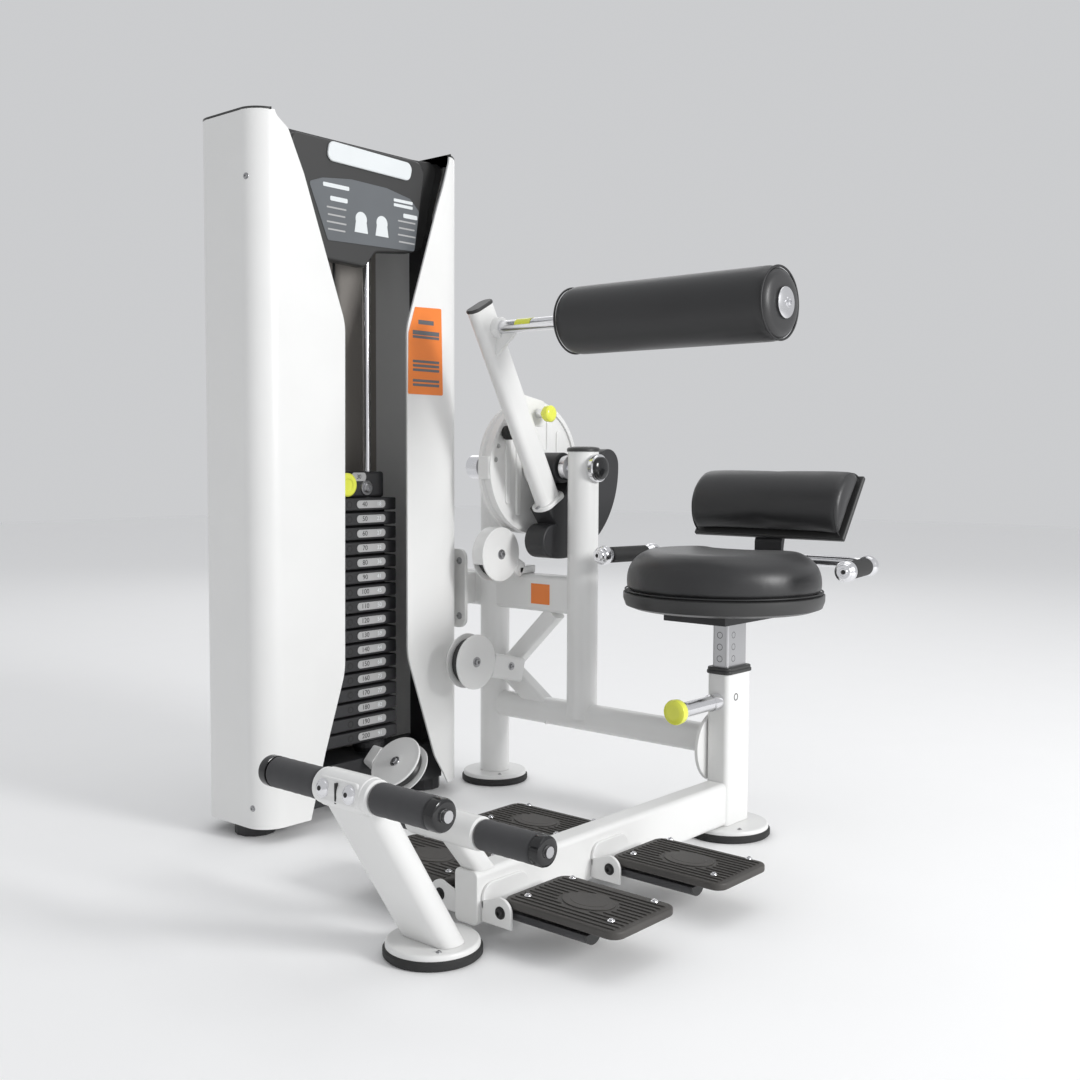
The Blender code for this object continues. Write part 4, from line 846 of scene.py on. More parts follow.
def build_beam():
    low = low_of("base_beam")
    high = high_of("base_beam")
    middle = (low + high) / 2
    bar("base_beam_tube", (0, low.y, middle.z), (0, high.y, middle.z), ALONG_X, high.x - low.x,
        high.z - low.z, 0.011,
        "frame", *white(), 0.002, ("base_beam",))
    lean_low = Vector((0, middle_of("front_foot").y, high_of("front_foot").z))
    lean_high = joint_point("foot_roller_left_spin")
    lean_high.x = 0
    along = (lean_high - lean_low).normalized()
    start = lean_low + along * 0.008
    post = bar("front_post_tube", start - along * 0.045, lean_high - along * 0.018, ALONG_X, 0.120, 0.048,
               0.0225, "frame",
               *white(), 0.001, ("front_post",))
    trim_below(post, lean_low.z + 0.0005)
    return post


def trim_below(piece, height):
    """Cut a piece off flat at a height."""
    cutter_mesh = slab_mesh("trim", [(-1, -1), (1, -1), (1, 1), (-1, 1)], 0.4)
    cutter = bpy.data.objects.new("trim", cutter_mesh)
    bpy.context.scene.collection.objects.link(cutter)
    cutter.location = (piece.matrix_world.translation.x, piece.matrix_world.translation.y, height - 0.2)
    cut = piece.modifiers.new("trim", "BOOLEAN")
    cut.operation = "DIFFERENCE"
    cut.object = cutter
    bpy.context.view_layer.update()
    graph = bpy.context.evaluated_depsgraph_get()
    shaped = bpy.data.meshes.new_from_object(piece.evaluated_get(graph))
    piece.modifiers.clear()
    piece.data = shaped
    bpy.data.objects.remove(cutter, do_unlink=True)
    piece.data.set_sharp_from_angle(angle=math.radians(38))


def build_foot_bar():
    """Sleeve with its clamp block and dome bolts between the foam rollers."""
    centre = joint_point("foot_roller_left_spin")
    centre.x = 0
    half = low_of("foot_roller_left").x - 0.0006
    sleeve = [(0, half), (0.0255, half), (0.0285, half - 0.003), (0.0285, -half + 0.003), (0.0255, -half),
              (0, -half)]
    lathe("foot_bar_sleeve", centre, ALONG_X, sleeve, "frame", *white(), ("foot_bar",))
    out = Vector((0, -0.985, 0.17)).normalized()
    slab("foot_bar_clamp", rectangle(0.094, 0.038, 0.010), axes_matrix(centre + out * 0.017, ALONG_X, out),
         0.024, "frame",
         *white(), 0.003)
    clamp = [(0, 0.050), (0.029, 0.050), (0.0305, 0.048), (0.0305, -0.048), (0.029, -0.050), (0, -0.050)]
    lathe("foot_bar_clamp_ring", centre, ALONG_X, clamp, "frame", *white())
    for x in (-0.034, 0.028):
        name = "a" if x < 0 else "b"
        spot = centre + Vector((x, 0, 0)) + out * 0.0288
        dome = [(0, 0.0085)] + [(0.0125 * math.sin(t), 0.0015 + 0.007 * math.cos(t)) for t in (0.3, 0.6, 0.9,
                                                                                               1.2, 1.5)]
        dome += [(0.0150, 0.0015), (0.0150, 0), (0, 0)]
        lathe("foot_bar_bolt_" + name, spot, out, dome, "frame", *bright(), steps=32)
        # Black disc on each dome bolt: painted shade of the socket recess.
        disc("foot_bar_socket_shade_" + name, spot + out * 0.0078, out, 0.0040, 0.0010, "frame", *rubbery(), 0.0003)
    # Thin black block in the clamp's slit: painted shade of the gap.
    block("foot_bar_slit_shade", (-0.004, centre.y - 0.0312, centre.z - 0.014),
          (0.0, centre.y - 0.0200, centre.z + 0.018), "frame",
          *rubbery(), 0.0003)
    pipe("foot_bar_axle", [centre - Vector((0.213, 0, 0)), centre + Vector((0.213, 0, 0))], 0.0095, "frame",
         *steely())
    low = joint_point("lower_roller_left_spin")
    low.x = 0
    half = low_of("lower_roller_left").x - 0.0006
    sleeve = [(0, half), (0.0255, half), (0.0285, half - 0.003), (0.0285, -half + 0.003), (0.0255, -half),
              (0, -half)]
    lathe("lower_roller_sleeve", low, ALONG_X, sleeve, "frame", *white(), ("lower_roller_mount",))
    pipe("lower_roller_axle", [low - Vector((0.226, 0, 0)), low + Vector((0.226, 0, 0))], 0.0095, "frame",
         *steely())
    top = high_of("base_beam").z
    leg = bar("lower_roller_post", (0, -0.790, top - 0.02), low, ALONG_X, 0.050, 0.036, 0.012, "frame",
              *white(), 0.001)
    trim_below(leg, top - 0.001)
    bolt("lower_roller_bolt", (0, low.y - 0.0275, low.z + 0.006), (0, -1, 0.2), 0.009, "frame", chrome())


def build_rollers():
    """Foam sleeves with soft rims and glossy plugs."""
    for name in ("foot_roller_left", "foot_roller_right", "lower_roller_left", "lower_roller_right"):
        low = low_of(name)
        high = high_of(name)
        side = 1 if low.x > 0 else -1
        inner = low.x if side > 0 else -high.x
        outer = high.x if side > 0 else -low.x
        radius = (high.z - low.z) / 2
        centre = joint_point(name + "_spin")
        centre.x = 0
        plug = outer - 0.020
        rim = 0.006
        soft = [(0.0115, plug - 0.0005)]
        soft += [(radius - rim + rim * math.sin(a), plug - 0.0005 - rim + rim * math.cos(a)) for a in (0, 0.4, 0.8, 1.2, 1.57)]
        waves = 12
        for k in range(1, waves):
            t = k / waves
            soft.append((radius - 0.0003 + 0.0003 * math.sin(k * 2.4),
                         plug - rim - t * (plug - inner - 2 * rim)))
        soft += [(radius - rim + rim * math.cos(a), inner + rim - rim * math.sin(a)) for a in (0, 0.4, 0.8, 1.2, 1.57)]
        soft += [(0.0115, inner)]
        piece = lathe(name + "_foam", centre, (side, 0, 0), soft, name, foam(), "foam", (name,), closed=True)
        cap = [(0, outer - 0.0015), (0.010, outer - 0.0015), (0.012, outer - 0.0005), (radius - 0.006, outer),
               (radius - 0.0015, outer - 0.002), (radius, outer - 0.006), (radius, plug + 0.001),
               (radius - 0.002, plug),
               (0, plug)]
        lathe(name + "_plug", centre, (side, 0, 0), cap, name, gloss_black(), "black_plastic")
        insert = [(0, outer - 0.0004), (0.0085, outer - 0.0004), (0.0095, outer - 0.0012),
                  (0.0095, outer - 0.003),
                  (0, outer - 0.003)]
        lathe(name + "_insert", centre, (side, 0, 0), insert, name, *tag_grey(), steps=32)


def build_treads():
    """Ribbed foot plates with a rolled front edge, an oval boss and screws, each on its channel arm."""
    settings = bpy.context.scene.machine_detail
    for node in ("foot_plate_front_left", "foot_plate_front_right", "foot_plate_rear_left",
                 "foot_plate_rear_right"):
        low = low_of(node)
        high = high_of(node)
        side = 1 if high.x > 0.1 else -1
        inner = 0.066
        outer = high.x if side > 0 else -low.x
        front_y = low.y + 0.010
        top = 0.085
        outline = rounded([(inner, front_y), (outer, front_y), (outer, high.y), (inner, high.y)], 0.022)
        if side < 0:
            outline = [(-x, y) for x, y in reversed(outline)]
        slab(node + "_tread", outline, plan_view(top - 0.0090), 0.0140, "frame", *ribbed(), 0.0035, (node,))
        centre_x = side * (inner + outer) / 2
        centre_y = (front_y + high.y) / 2
        y = front_y + 0.012
        k = 0
        while y < high.y - 0.010:
            ends = [(side * (inner + 0.012), side * (outer - 0.012))]
            reach = 1 - ((y - centre_y) / 0.040) ** 2
            if reach > 0:
                half = 0.052 * math.sqrt(reach) + 0.006
                ends = [(side * (inner + 0.012), centre_x - side * half),
                        (centre_x + side * half, side * (outer - 0.012))]
            for m, (a, b) in enumerate(ends):
                rib = rectangle(abs(b - a), 0.0045, 0.0021, 5)
                slab(f"{node}_rib_{k}_{m}", rib, axes_matrix(((a + b) / 2, y, top - 0.0012), ALONG_X,
                                                             ALONG_Z), 0.0028,
                     "frame", *ribbed(), 0.0008)
            y += settings.rib_pitch
            k += 1
        boss = [(0.050 * math.cos(math.tau * i / 40), 0.036 * math.sin(math.tau * i / 40)) for i in range(40)]
        slab(node + "_boss", boss, axes_matrix((centre_x, centre_y, top - 0.0012), ALONG_X, ALONG_Z), 0.0022,
             "frame",
             *ribbed(), 0.0008)
        inner_boss = [(x * 0.72, yy * 0.66) for x, yy in boss]
        slab(node + "_boss_ring", inner_boss, axes_matrix((centre_x, centre_y, top - 0.0008), ALONG_X,
                                                          ALONG_Z), 0.0022,
             "frame", *ribbed(), 0.0008)
        for x in (0.095, 0.273):
            for yy in (front_y + 0.037, front_y + 0.157):
                if yy < high.y - 0.006:
                    bolt(f"{node}_screw_{round(x * 1000)}_{'a' if yy < centre_y else 'b'}",
                         (side * x, yy, top - 0.0004),
                         ALONG_Z, 0.0065, "frame", chrome())
        arm_y = front_y + 0.022
        profile = arc((0, 0), 0.020, 180, 360, 20)
        matrix = axes_matrix((side * (0.0293 + 0.246) / 2, arm_y, top - 0.021), ALONG_Y, ALONG_X)
        slab(node + "_arm", profile, matrix, 0.246 - 0.0293, "frame", *cast(), 0.0008)
        slab(node + "_arm_end", profile, axes_matrix((side * 0.248, arm_y, top - 0.021), ALONG_Y, ALONG_X),
             0.004, "frame",
             *black(), 0.001)
        plate = rounded([(low.y + 0.002, 0.036), (high.y - 0.060, 0.036), (high.y - 0.060, 0.100),
                         (low.y + 0.002, 0.100)],
                        0.024)
        slab(node + "_plate", plate, side_view(side * 0.0303), 0.0062, "frame", *white(), 0.0015)
        lug = [(0.028, 0.036), (0.096, 0.036)] + arc((0.072, 0.062), 0.024, 0, 120, 14) + [(0.028, 0.072)]
        lug = [(side * x, z) for x, z in lug]
        slab(node + "_lug", lug, axes_matrix((0, front_y - 0.005, 0), ALONG_X, (0, -1, 0)), 0.006, "frame",
             *white(), 0.0012)
        bolt(node + "_pivot", (side * 0.072, front_y - 0.008, 0.061), (0, -1, 0), 0.011, "frame", rubber())


def build_seat_post():
    """Outer tube, black collar, a black disc of painted shade for a hole and the chrome barrel of the pull knob."""
    low = low_of("seat_post")
    high = high_of("seat_post")
    outline = rectangle(0.056, 0.096, 0.012)
    collar_low = high.z - 0.015
    slab("seat_post_tube", outline, plan_view((low.z + collar_low) / 2), collar_low - low.z, "frame",
         *white(), 0.001, ("seat_post",))
    for k, (grow, z, tall) in enumerate(((0.0035, collar_low + 0.004, 0.008),
                                         (0.002, collar_low + 0.0105, 0.008))):
        ring = rectangle(0.056 + 2 * grow, 0.096 + 2 * grow, 0.014)
        slab(f"seat_collar_{k}", ring, plan_view(z), tall, "frame", *black(), 0.002)
    hole = (0.0281, -0.016, 0.309)
    # Flat black disc for the hole: painted shade of the tube's dark inside.
    lathe("seat_post_hole", hole, ALONG_X, [(0.0, -0.001), (0.0055, -0.001), (0.0060, 0.0003),
                                            (0.0080, 0.0004),
          (0.0085, -0.0005)], "frame", *black(), steps=32)
    front = -0.048
    tip = high_of("seat_knob").y
    profile = [(0, -tip + front), (0.010, -tip + front), (0.0125, -tip + front - 0.002),
               (0.0125, -tip + front - 0.012),
               (0.016, -tip + front - 0.016), (0.016, 0.030), (0.0185, 0.026), (0.0185, 0.0), (0, 0)]
    lathe("seat_knob_barrel", (0, front, 0.300), (0, -1, 0), profile, "frame", *bright())
    knob = middle_of("seat_knob")
    length = high_of("seat_knob").y - low_of("seat_knob").y
    head = [(0, length - 0.002), (0.012, length), (0.019, length), (0.0255, length - 0.003),
            (0.027, length - 0.007),
            (0.0262, 0.008), (0.022, 0.002), (0.012, 0.0), (0, 0)]
    lathe("seat_knob_head", (0, high_of("seat_knob").y, knob.z), (0, -1, 0), head, "seat_knob", *knob_finish(),
          ("seat_knob",))


def round_post(node, bottom_trim=0.0):
    """Round painted post with a black domed cap."""
    low = low_of(node)
    high = high_of(node)
    centre = (low + high) / 2
    cap_r = (high.x - low.x) / 2
    radius = cap_r - 0.0025
    seam = high.z - 0.008
    lathe(node + "_tube", (centre.x, centre.y, 0), ALONG_Z,
          [(0, seam), (radius, seam), (radius, low.z + bottom_trim),
          (0, low.z + bottom_trim)], "frame", *white(), (node,))
    cap = [(0, high.z + 0.002), (cap_r * 0.6, high.z + 0.0014), (cap_r - 0.003, high.z - 0.001),
           (cap_r, high.z - 0.004),
           (cap_r, seam - 0.003), (0, seam - 0.003)]
    lathe(node + "_cap", (centre.x, centre.y, 0), ALONG_Z, cap, "frame", *black())


def build_crossbars():
    flange_x = high_of("lower_crossbar").x
    z = 0.2025
    rear_x = middle_of("rear_post").x
    disc("lower_flange", (flange_x - 0.008, 0, z - 0.012), ALONG_X, 0.079, 0.008, "frame", *white(), 0.002,
         ("lower_crossbar",))
    bar("lower_crossbar_tube", (flange_x - 0.004, 0, z), (rear_x, 0, z), ALONG_Y, 0.050, 0.066, 0.0245,
        "frame", *white(), 0.0005)
    for dy, dz in ((-0.040, 0.046), (0.040, 0.046), (-0.040, -0.064), (0.040, -0.064)):
        bolt(f"lower_flange_bolt_{'f' if dy < 0 else 'r'}{'t' if dz > 0 else 'b'}",
             (flange_x - 0.008, dy, z - 0.003 + dz),
             (-1, 0, 0), 0.010, "frame")
    upper = 0.4965
    pivot_x = middle_of("pivot_post").x
    end = -0.792
    bar("upper_crossbar_tube", (pivot_x, 0, upper), (end, 0, upper), ALONG_Y, 0.050, 0.091, 0.012, "frame",
        *white(), 0.001, ("upper_crossbar",))
    plate_y = low_of("tower_mount").y
    outline = rounded([(-0.835, 0.400), (-0.720, 0.400), (-0.720, 0.600), (-0.835, 0.600)], 0.024)
    slab("tower_mount_plate", outline, axes_matrix((0, plate_y + 0.005, 0), ALONG_X, (0, -1, 0)), 0.010,
         "frame",
         *white(), 0.002, ("tower_mount",))
    block("tower_mount_arm", (end - 0.002, plate_y + 0.006, 0.455), (end + 0.040, 0.020, 0.538), "frame",
          *white(), 0.006)
    for z_bolt in (0.430, 0.570):
        for x in (-0.740, -0.815):
            bolt(f"tower_mount_bolt_{round(z_bolt * 1000)}_{round(-x * 1000)}", (x, plate_y + 0.0102, z_bolt),
                 ALONG_Y, 0.009,
                 "frame")
            bolt(f"tower_mount_head_{round(z_bolt * 1000)}_{round(-x * 1000)}", (x, plate_y - 0.0002, z_bolt),
                 (0, -1, 0),
                 0.009, "frame")
    block("crossbar_accent_panel", (-0.560, -0.0262, 0.470), (-0.500, -0.0250, 0.520), "frame", accent(),
          "yellow_plastic",
          0.0005)
    bar("brace_tube", (-0.500, 0, 0.4515), (-0.652, 0, 0.3035), ALONG_Y, 0.040, 0.040, 0.008, "frame",
        *white(), 0.001, ("brace",))
    bar("strut_tube", (-0.505, 0, 0.190), (-0.662, 0, 0.2985), ALONG_Y, 0.040, 0.050, 0.008, "frame",
        *white(), 0.001, ("strut",))


# ---- pulleys and cable ---------------------------------------------------------------------
def pulley(name, centre, axis, tail, tail_width, body):
    """Grooved wheel between two dished cheeks on a bolt, with the block that joins the cheeks."""
    axis = Vector(axis).normalized()
    wheel = [(0.0064, 0.011), (0.016, 0.011), (0.018, 0.009), (0.044, 0.009), (0.0465, 0.011),
             (0.0540, 0.011)]
    wheel += [(0.0505 + 0.0035 * abs(math.cos(a)), 0.008 * math.cos(a)) for a in
              [math.pi * k / 8 for k in range(1, 8)]]
    wheel += [(0.0540, -0.011), (0.0465, -0.011), (0.044, -0.009), (0.018, -0.009), (0.016, -0.011),
              (0.0064, -0.011)]
    lathe(name + "_wheel_detail", centre, axis, wheel, body, *black(), (name + "_wheel",),
          closed=True)
    for side in (-1, 1):
        out = axis * side
        inside = centre + out * 0.0145
        cheek = [(0, 0.0042), (0.020, 0.0042), (0.024, 0.0030), (0.058, 0.0030), (0.061, 0.0040),
                 (0.0645, 0.0040),
                 (0.066, 0.0028), (0.066, 0.0), (0, 0)]
        stands = (name + "_housing",) if side < 0 else ()
        lathe(f"{name}_cheek_{'a' if side < 0 else 'b'}", inside, out, cheek, "frame", *white(), stands)
        bolt(f"{name}_bolt_{'a' if side < 0 else 'b'}", inside + out * 0.0040, out, 0.0125, "frame")
    reach = Vector(tail) - centre
    start = centre + reach.normalized() * 0.064
    bar(name + "_tail", start, tail, axis, 0.039, tail_width, 0.008, "frame", *white(), 0.002)


def build_pulleys():
    upper = joint_point("upper_wheel_spin")
    bar_top = high_of("upper_crossbar").z
    pulley("upper_pulley", upper, ALONG_X, (upper.x, -0.030, bar_top + 0.010), 0.040, "upper_wheel")
    block("upper_pulley_seat", (upper.x - 0.0195, -0.046, bar_top + 0.0003),
          (upper.x + 0.0195, 0.016, bar_top + 0.020),
          "frame", *white(), 0.004)
    guard = arc((upper.y, upper.z), 0.0660, 60, 200, 28) + arc((upper.y, upper.z), 0.0628, 200, 60, 28)
    slab("upper_pulley_guard", guard, side_view(upper.x), 0.0325, "frame", *white(), 0.0006)
    lower = joint_point("lower_wheel_spin")
    pulley("lower_pulley", lower, ALONG_X, (lower.x, -0.0285, 0.300), 0.060, "lower_wheel")
    bolt("lower_pulley_block_bolt", (lower.x + 0.0196, -0.075, 0.316), ALONG_X, 0.010, "frame")
    tower = joint_point("tower_wheel_spin")
    tail = tower + Vector((-0.096, 0.004, 0.004))
    pulley("tower_pulley", tower, joint_axis("tower_wheel_spin"), tail, 0.050, "tower_wheel")


# ---- pressing arm --------------------------------------------------------------------------
def build_cam():
    """Round cam with a raised rim, flutes across its face, lightening holes and its hub."""
    settings = bpy.context.scene.machine_detail
    low = low_of("cam")
    pivot = joint_point("cam_swing")
    face = -0.570
    radius = 0.165
    rim = [(radius - 0.012, face - low.x), (radius - 0.0015, face - low.x), (radius, face - low.x - 0.002),
           (radius, 0.026), (radius - 0.006, 0.022), (radius - 0.006, 0.014), (radius, 0.010),
           (radius, 0.001),
           (radius - 0.0015, 0.0), (radius - 0.012, 0.0)]
    lathe("cam_rim", (low.x, 0, pivot.z), ALONG_X, rim, "cam_unit", *white(), ("cam",), closed=True,
          steps=96)
    outline = arc((0, pivot.z), radius - 0.010, 0, 360, 96)[:-1]
    holes = [((0.0 + 0.139 * math.cos(math.radians(a)), pivot.z + 0.139 * math.sin(math.radians(a))), 0.0065)
             for a in range(60, 175, 14)]
    slab("cam_web", outline, side_view((low.x + face) / 2), face - low.x - 0.010, "cam_unit", *white(),
         0.0, (), holes)
    y = -radius + settings.flute_pitch * 0.8
    k = 0
    while y < radius * 0.92:
        tall = math.sqrt(max(0.0, (radius - 0.034) ** 2 - y ** 2))
        if tall > 0.02 and abs(y) > HUB_R * 0.6:
            rib = rectangle(0.018, 2 * tall, 0.008, 5)
            slab(f"cam_flute_{k}", rib, axes_matrix((face - 0.0045, y, pivot.z), ALONG_Y, ALONG_X), 0.007,
                 "cam_unit",
                 *white(), 0.0030)
        y += settings.flute_pitch
        k += 1
    hub = [(SHAFT_R, 0.0298), (HUB_R - 0.002, 0.0298), (HUB_R, 0.0275), (HUB_R, 0.0), (SHAFT_R, 0.0)]
    lathe("cam_hub", (face - 0.001, 0, pivot.z), ALONG_X, hub, "cam_unit", *white(), closed=True)
    block("cam_rim_block", (low.x + 0.002, -radius - 0.001, pivot.z - 0.028),
          (face - 0.002, -radius + 0.020, pivot.z + 0.028),
          "cam_unit", *white(), 0.004)
    spot = middle_of("cam_bumper")
    base = low_of("cam_bumper").x
    ring = [(0.006, 0.014), (0.008, 0.0195), (0.014, 0.0195), (0.017, 0.016), (0.017, 0.002), (0.015, 0.0),
            (0, 0), (0, 0.014)]
    lathe("cam_bumper_ring", (base, spot.y, spot.z), ALONG_X, ring, "cam_unit", *rubbery(), ("cam_bumper",),
          closed=True)
    bolt("cam_bumper_bolt", (base + 0.0135, spot.y, spot.z), ALONG_X, 0.0065, "cam_unit")


HUB_R = 0.045
SHAFT_R = 0.0160


def build_shaft():
    low = low_of("pivot_shaft")
    high = high_of("pivot_shaft")
    z = joint_point("cam_swing").z
    lathe("shaft_bar", (low.x, 0, z), ALONG_X, disc_profile(0.0158, high.x - low.x - 0.010, 0.001),
          "cam_unit", *bright(), ("pivot_shaft",))
    near = high_of("pivot_post").x - 0.0025 + 0.001
    collar = [(SHAFT_R, 0.014), (0.030, 0.014), (0.033, 0.011), (0.033, 0.001), (0.031, 0.0), (SHAFT_R, 0.0)]
    lathe("shaft_collar_near", (near, 0, z), ALONG_X, collar, "cam_unit", *bright(), closed=True)
    cap = [(0, 0.0115), (0.012, 0.0112), (0.022, 0.0095), (0.0265, 0.006), (0.0275, 0.0), (0, 0)]
    lathe("shaft_cap_near", (near + 0.0135, 0, z), ALONG_X, cap, "cam_unit", gloss_black(), "black_plastic")
    inner = low_of("pivot_post").x + 0.0025 - 0.001
    lathe("shaft_collar_inner", (inner, 0, z), (-1, 0, 0),
          [(SHAFT_R, 0.018), (0.028, 0.018), (0.030, 0.016), (0.030, 0.001),
          (SHAFT_R, 0.0)], "cam_unit", *bright(), closed=True)
    far = low_of("rear_post").x + 0.0025 - 0.001
    length = far - low.x
    lathe("shaft_collar_far", (far, 0, z), (-1, 0, 0), [(0, length), (0.026, length), (0.030, length - 0.004),
                                                        (0.030, 0.001),
          (0, 0)], "cam_unit", *bright())


ARM_BASE = Vector((-0.495, -0.0385, 0.724))
ARM_TOP = Vector((-0.495, -0.2795, 1.168))


def build_counterweight():
    """Cast sector with round ends, a neck and a hub, with generous cast edges."""
    pivot = joint_point("arm_adjust")
    low = low_of("counterweight")
    high = high_of("counterweight")
    outer_r = 0.222
    inner_r = 0.140
    middle_r = (outer_r + inner_r) / 2
    end_r = (outer_r - inner_r) / 2

    def round_end(angle, first, last):
        spot = math.radians(angle)
        centre = (middle_r * math.cos(spot), middle_r * math.sin(spot))
        return arc(centre, end_r, first, last, 16)[1:-1]

    lean = (ARM_TOP - ARM_BASE).normalized()
    across = Vector((-lean.z, lean.y))
    base = Vector((ARM_BASE.y, ARM_BASE.z - pivot.z)) - Vector((lean.y, lean.z)) * 0.0053
    outline = arc((0, 0), outer_r, 2, -101, 60)
    outline += round_end(-101, -101, -281)
    outline += [(inner_r * math.cos(math.radians(-101)), inner_r * math.sin(math.radians(-101)))]
    outline += [tuple(base + across * 0.024), tuple(base - across * 0.047)]
    outline += [(0.010, -0.058), (0.018, -0.030), (0.036, -0.012)]
    outline += arc((0, 0), inner_r, -30, 2, 20)
    outline += round_end(2, 182, 2)
    outline = [(y, pivot.z + z) for y, z in outline]
    slab("counterweight_cast", outline, side_view((low.x + high.x) / 2), high.x - low.x, "arm_unit", *cast(),
         0.012, ("counterweight",))
    hub = [(SHAFT_R + 0.0004, high.x - low.x), (0.035, high.x - low.x), (0.037, high.x - low.x - 0.002),
           (0.037, 0.002),
           (0.035, 0.0), (SHAFT_R + 0.0004, 0.0)]
    lathe("counterweight_hub", (low.x, 0, pivot.z), ALONG_X, hub, "arm_unit", *cast(), closed=True)


def build_arm():
    """Oval tube on its bolted flange with the cap, roll tube, gusset, pin bracket and plain tag."""
    lean = (ARM_TOP - ARM_BASE).normalized()
    bar("arm_tube", ARM_BASE, ARM_TOP, ALONG_X, 0.036, 0.070, 0.0165, "arm_unit", *white(), 0.0005,
        ("arm",))
    bar("arm_flange", ARM_BASE - lean * 0.005, ARM_BASE + lean * 0.005, ALONG_X, 0.056, 0.090, 0.024,
        "arm_unit",
        *white(), 0.002)
    across = Vector((0, -lean.z, lean.y))
    for side in (-1, 1):
        bolt(f"arm_flange_bolt_{'f' if side > 0 else 'r'}", ARM_BASE + lean * 0.005 + across * side * 0.0405,
             lean, 0.0062,
             "arm_unit")
    bar("arm_cap", ARM_TOP - lean * 0.002, ARM_TOP + lean * 0.006, ALONG_X, 0.040, 0.074, 0.0190, "arm_unit",
        *black(), 0.0028)
    roll = joint_point("roll_spin")
    half = high_of("roll_pad").x
    pipe("roll_tube", [(ARM_TOP.x, roll.y, roll.z), (half + 0.001, roll.y, roll.z)], 0.0153, "arm_unit",
         *bright(),
         sides=8)
    lathe("roll_collar", (ARM_TOP.x + 0.018, roll.y, roll.z), ALONG_X,
          [(0.0155, 0.016), (0.022, 0.016), (0.024, 0.013),
          (0.024, 0.0), (0.0155, 0.0)], "arm_unit", *white(), closed=True)
    disc("roll_stop", (-half - 0.002, roll.y, roll.z), (-1, 0, 0), 0.024, 0.010, "arm_unit", *black(), 0.003)
    washer = [(0, 0.0050), (0.010, 0.0048), (0.022, 0.0034), (0.0295, 0.0008), (0.030, 0.0), (0, 0)]
    lathe("roll_washer", (half + 0.0006, roll.y, roll.z), ALONG_X, washer, "arm_unit", *bright())
    bolt("roll_bolt", (half + 0.0050, roll.y, roll.z), ALONG_X, 0.010, "arm_unit", chrome())
    gusset = rounded([(ARM_TOP.x + 0.010, -0.012), (ARM_TOP.x + 0.080, -0.012), (ARM_TOP.x + 0.010, -0.070)],
                     [0, 0.004, 0.004])
    slab("roll_gusset", gusset, axes_matrix((0, roll.y, roll.z), ALONG_X, (0, -1, 0)), 0.009, "arm_unit",
         *white(), 0.001)
    tag = [(0.0162 * math.cos(a), 0.0162 * math.sin(a)) for a in [math.radians(20 + 14 * k) for k in range(12)]]
    tag += [(0.0156 * math.cos(a), 0.0156 * math.sin(a)) for a in [math.radians(174 - 14 * k) for k in range(12)]]
    slab("roll_tube_tag", tag, axes_matrix((ARM_TOP.x + 0.105, roll.y, roll.z), ALONG_Y, ALONG_X), 0.045,
         "arm_unit",
         *knob_finish(), 0.0)
    bracket = rounded([(-0.105, 0.905), (-0.040, 0.905), (-0.040, 0.965), (-0.150, 0.985)], 0.015)
    slab("pin_bracket", bracket, side_view(ARM_BASE.x - 0.014), 0.014, "arm_unit", *white(), 0.002)
    knob = middle_of("arm_knob")
    base = low_of("arm_knob").x
    barrel = [(0, 0.064), (0.008, 0.064), (0.011, 0.061), (0.011, 0.002), (0.009, 0.0), (0, 0)]
    lathe("pin_barrel", (base - 0.0645, knob.y, knob.z), ALONG_X, barrel, "arm_unit", *bright())
    length = high_of("arm_knob").x - base
    head = [(0, length - 0.002), (0.009, length), (0.014, length), (0.0188, length - 0.003),
            (0.020, length - 0.006),
            (0.0194, 0.007), (0.015, 0.001), (0, 0)]
    lathe("arm_knob_head", (base, knob.y, knob.z), ALONG_X, head, "arm_knob", *knob_finish(), ("arm_knob",))


# ---- cushions ------------------------------------------------------------------------------
def swell(piece, still=None):
    """Swell a cushion's cover with a cloth simulation, no point moving farther than the limit."""
    settings = bpy.context.scene.machine_pads
    remesh = piece.modifiers.new("even mesh", "REMESH")
    remesh.mode = "VOXEL"
    remesh.voxel_size = settings.voxel
    bake(piece)
    start = [v.co.copy() for v in piece.data.vertices]
    cloth = piece.modifiers.new("cover", "CLOTH")
    cloth.settings.use_pressure = True
    cloth.settings.uniform_pressure_force = settings.pressure
    cloth.settings.effector_weights.gravity = 0.0
    cloth.settings.tension_stiffness = 12
    cloth.settings.bending_stiffness = 8
    cloth.settings.quality = 5
    cloth.point_cache.frame_start = 1
    cloth.point_cache.frame_end = 20
    for number in range(1, 21):
        bpy.context.scene.frame_set(number)
    bake(piece)
    bpy.context.scene.frame_set(1)
    for vert, origin in zip(piece.data.vertices, start):
        move = vert.co - origin
        if move.length > settings.swell:
            move *= settings.swell / move.length
        if still is not None:
            move *= still(piece.matrix_world @ origin)
        vert.co = origin + move
    calm = piece.modifiers.new("smooth cover", "SMOOTH")
    calm.iterations = 14
    fine = piece.modifiers.new("fine form", "SUBSURF")
    fine.levels = 1
    fine.render_levels = 1
    piece.data.shade_smooth()
    return piece


def bake(piece):
    """Put the evaluated shape into the mesh and drop its modifiers."""
    bpy.context.view_layer.update()
    graph = bpy.context.evaluated_depsgraph_get()
    shaped = bpy.data.meshes.new_from_object(piece.evaluated_get(graph))
    piece.modifiers.clear()
    piece.data = shaped


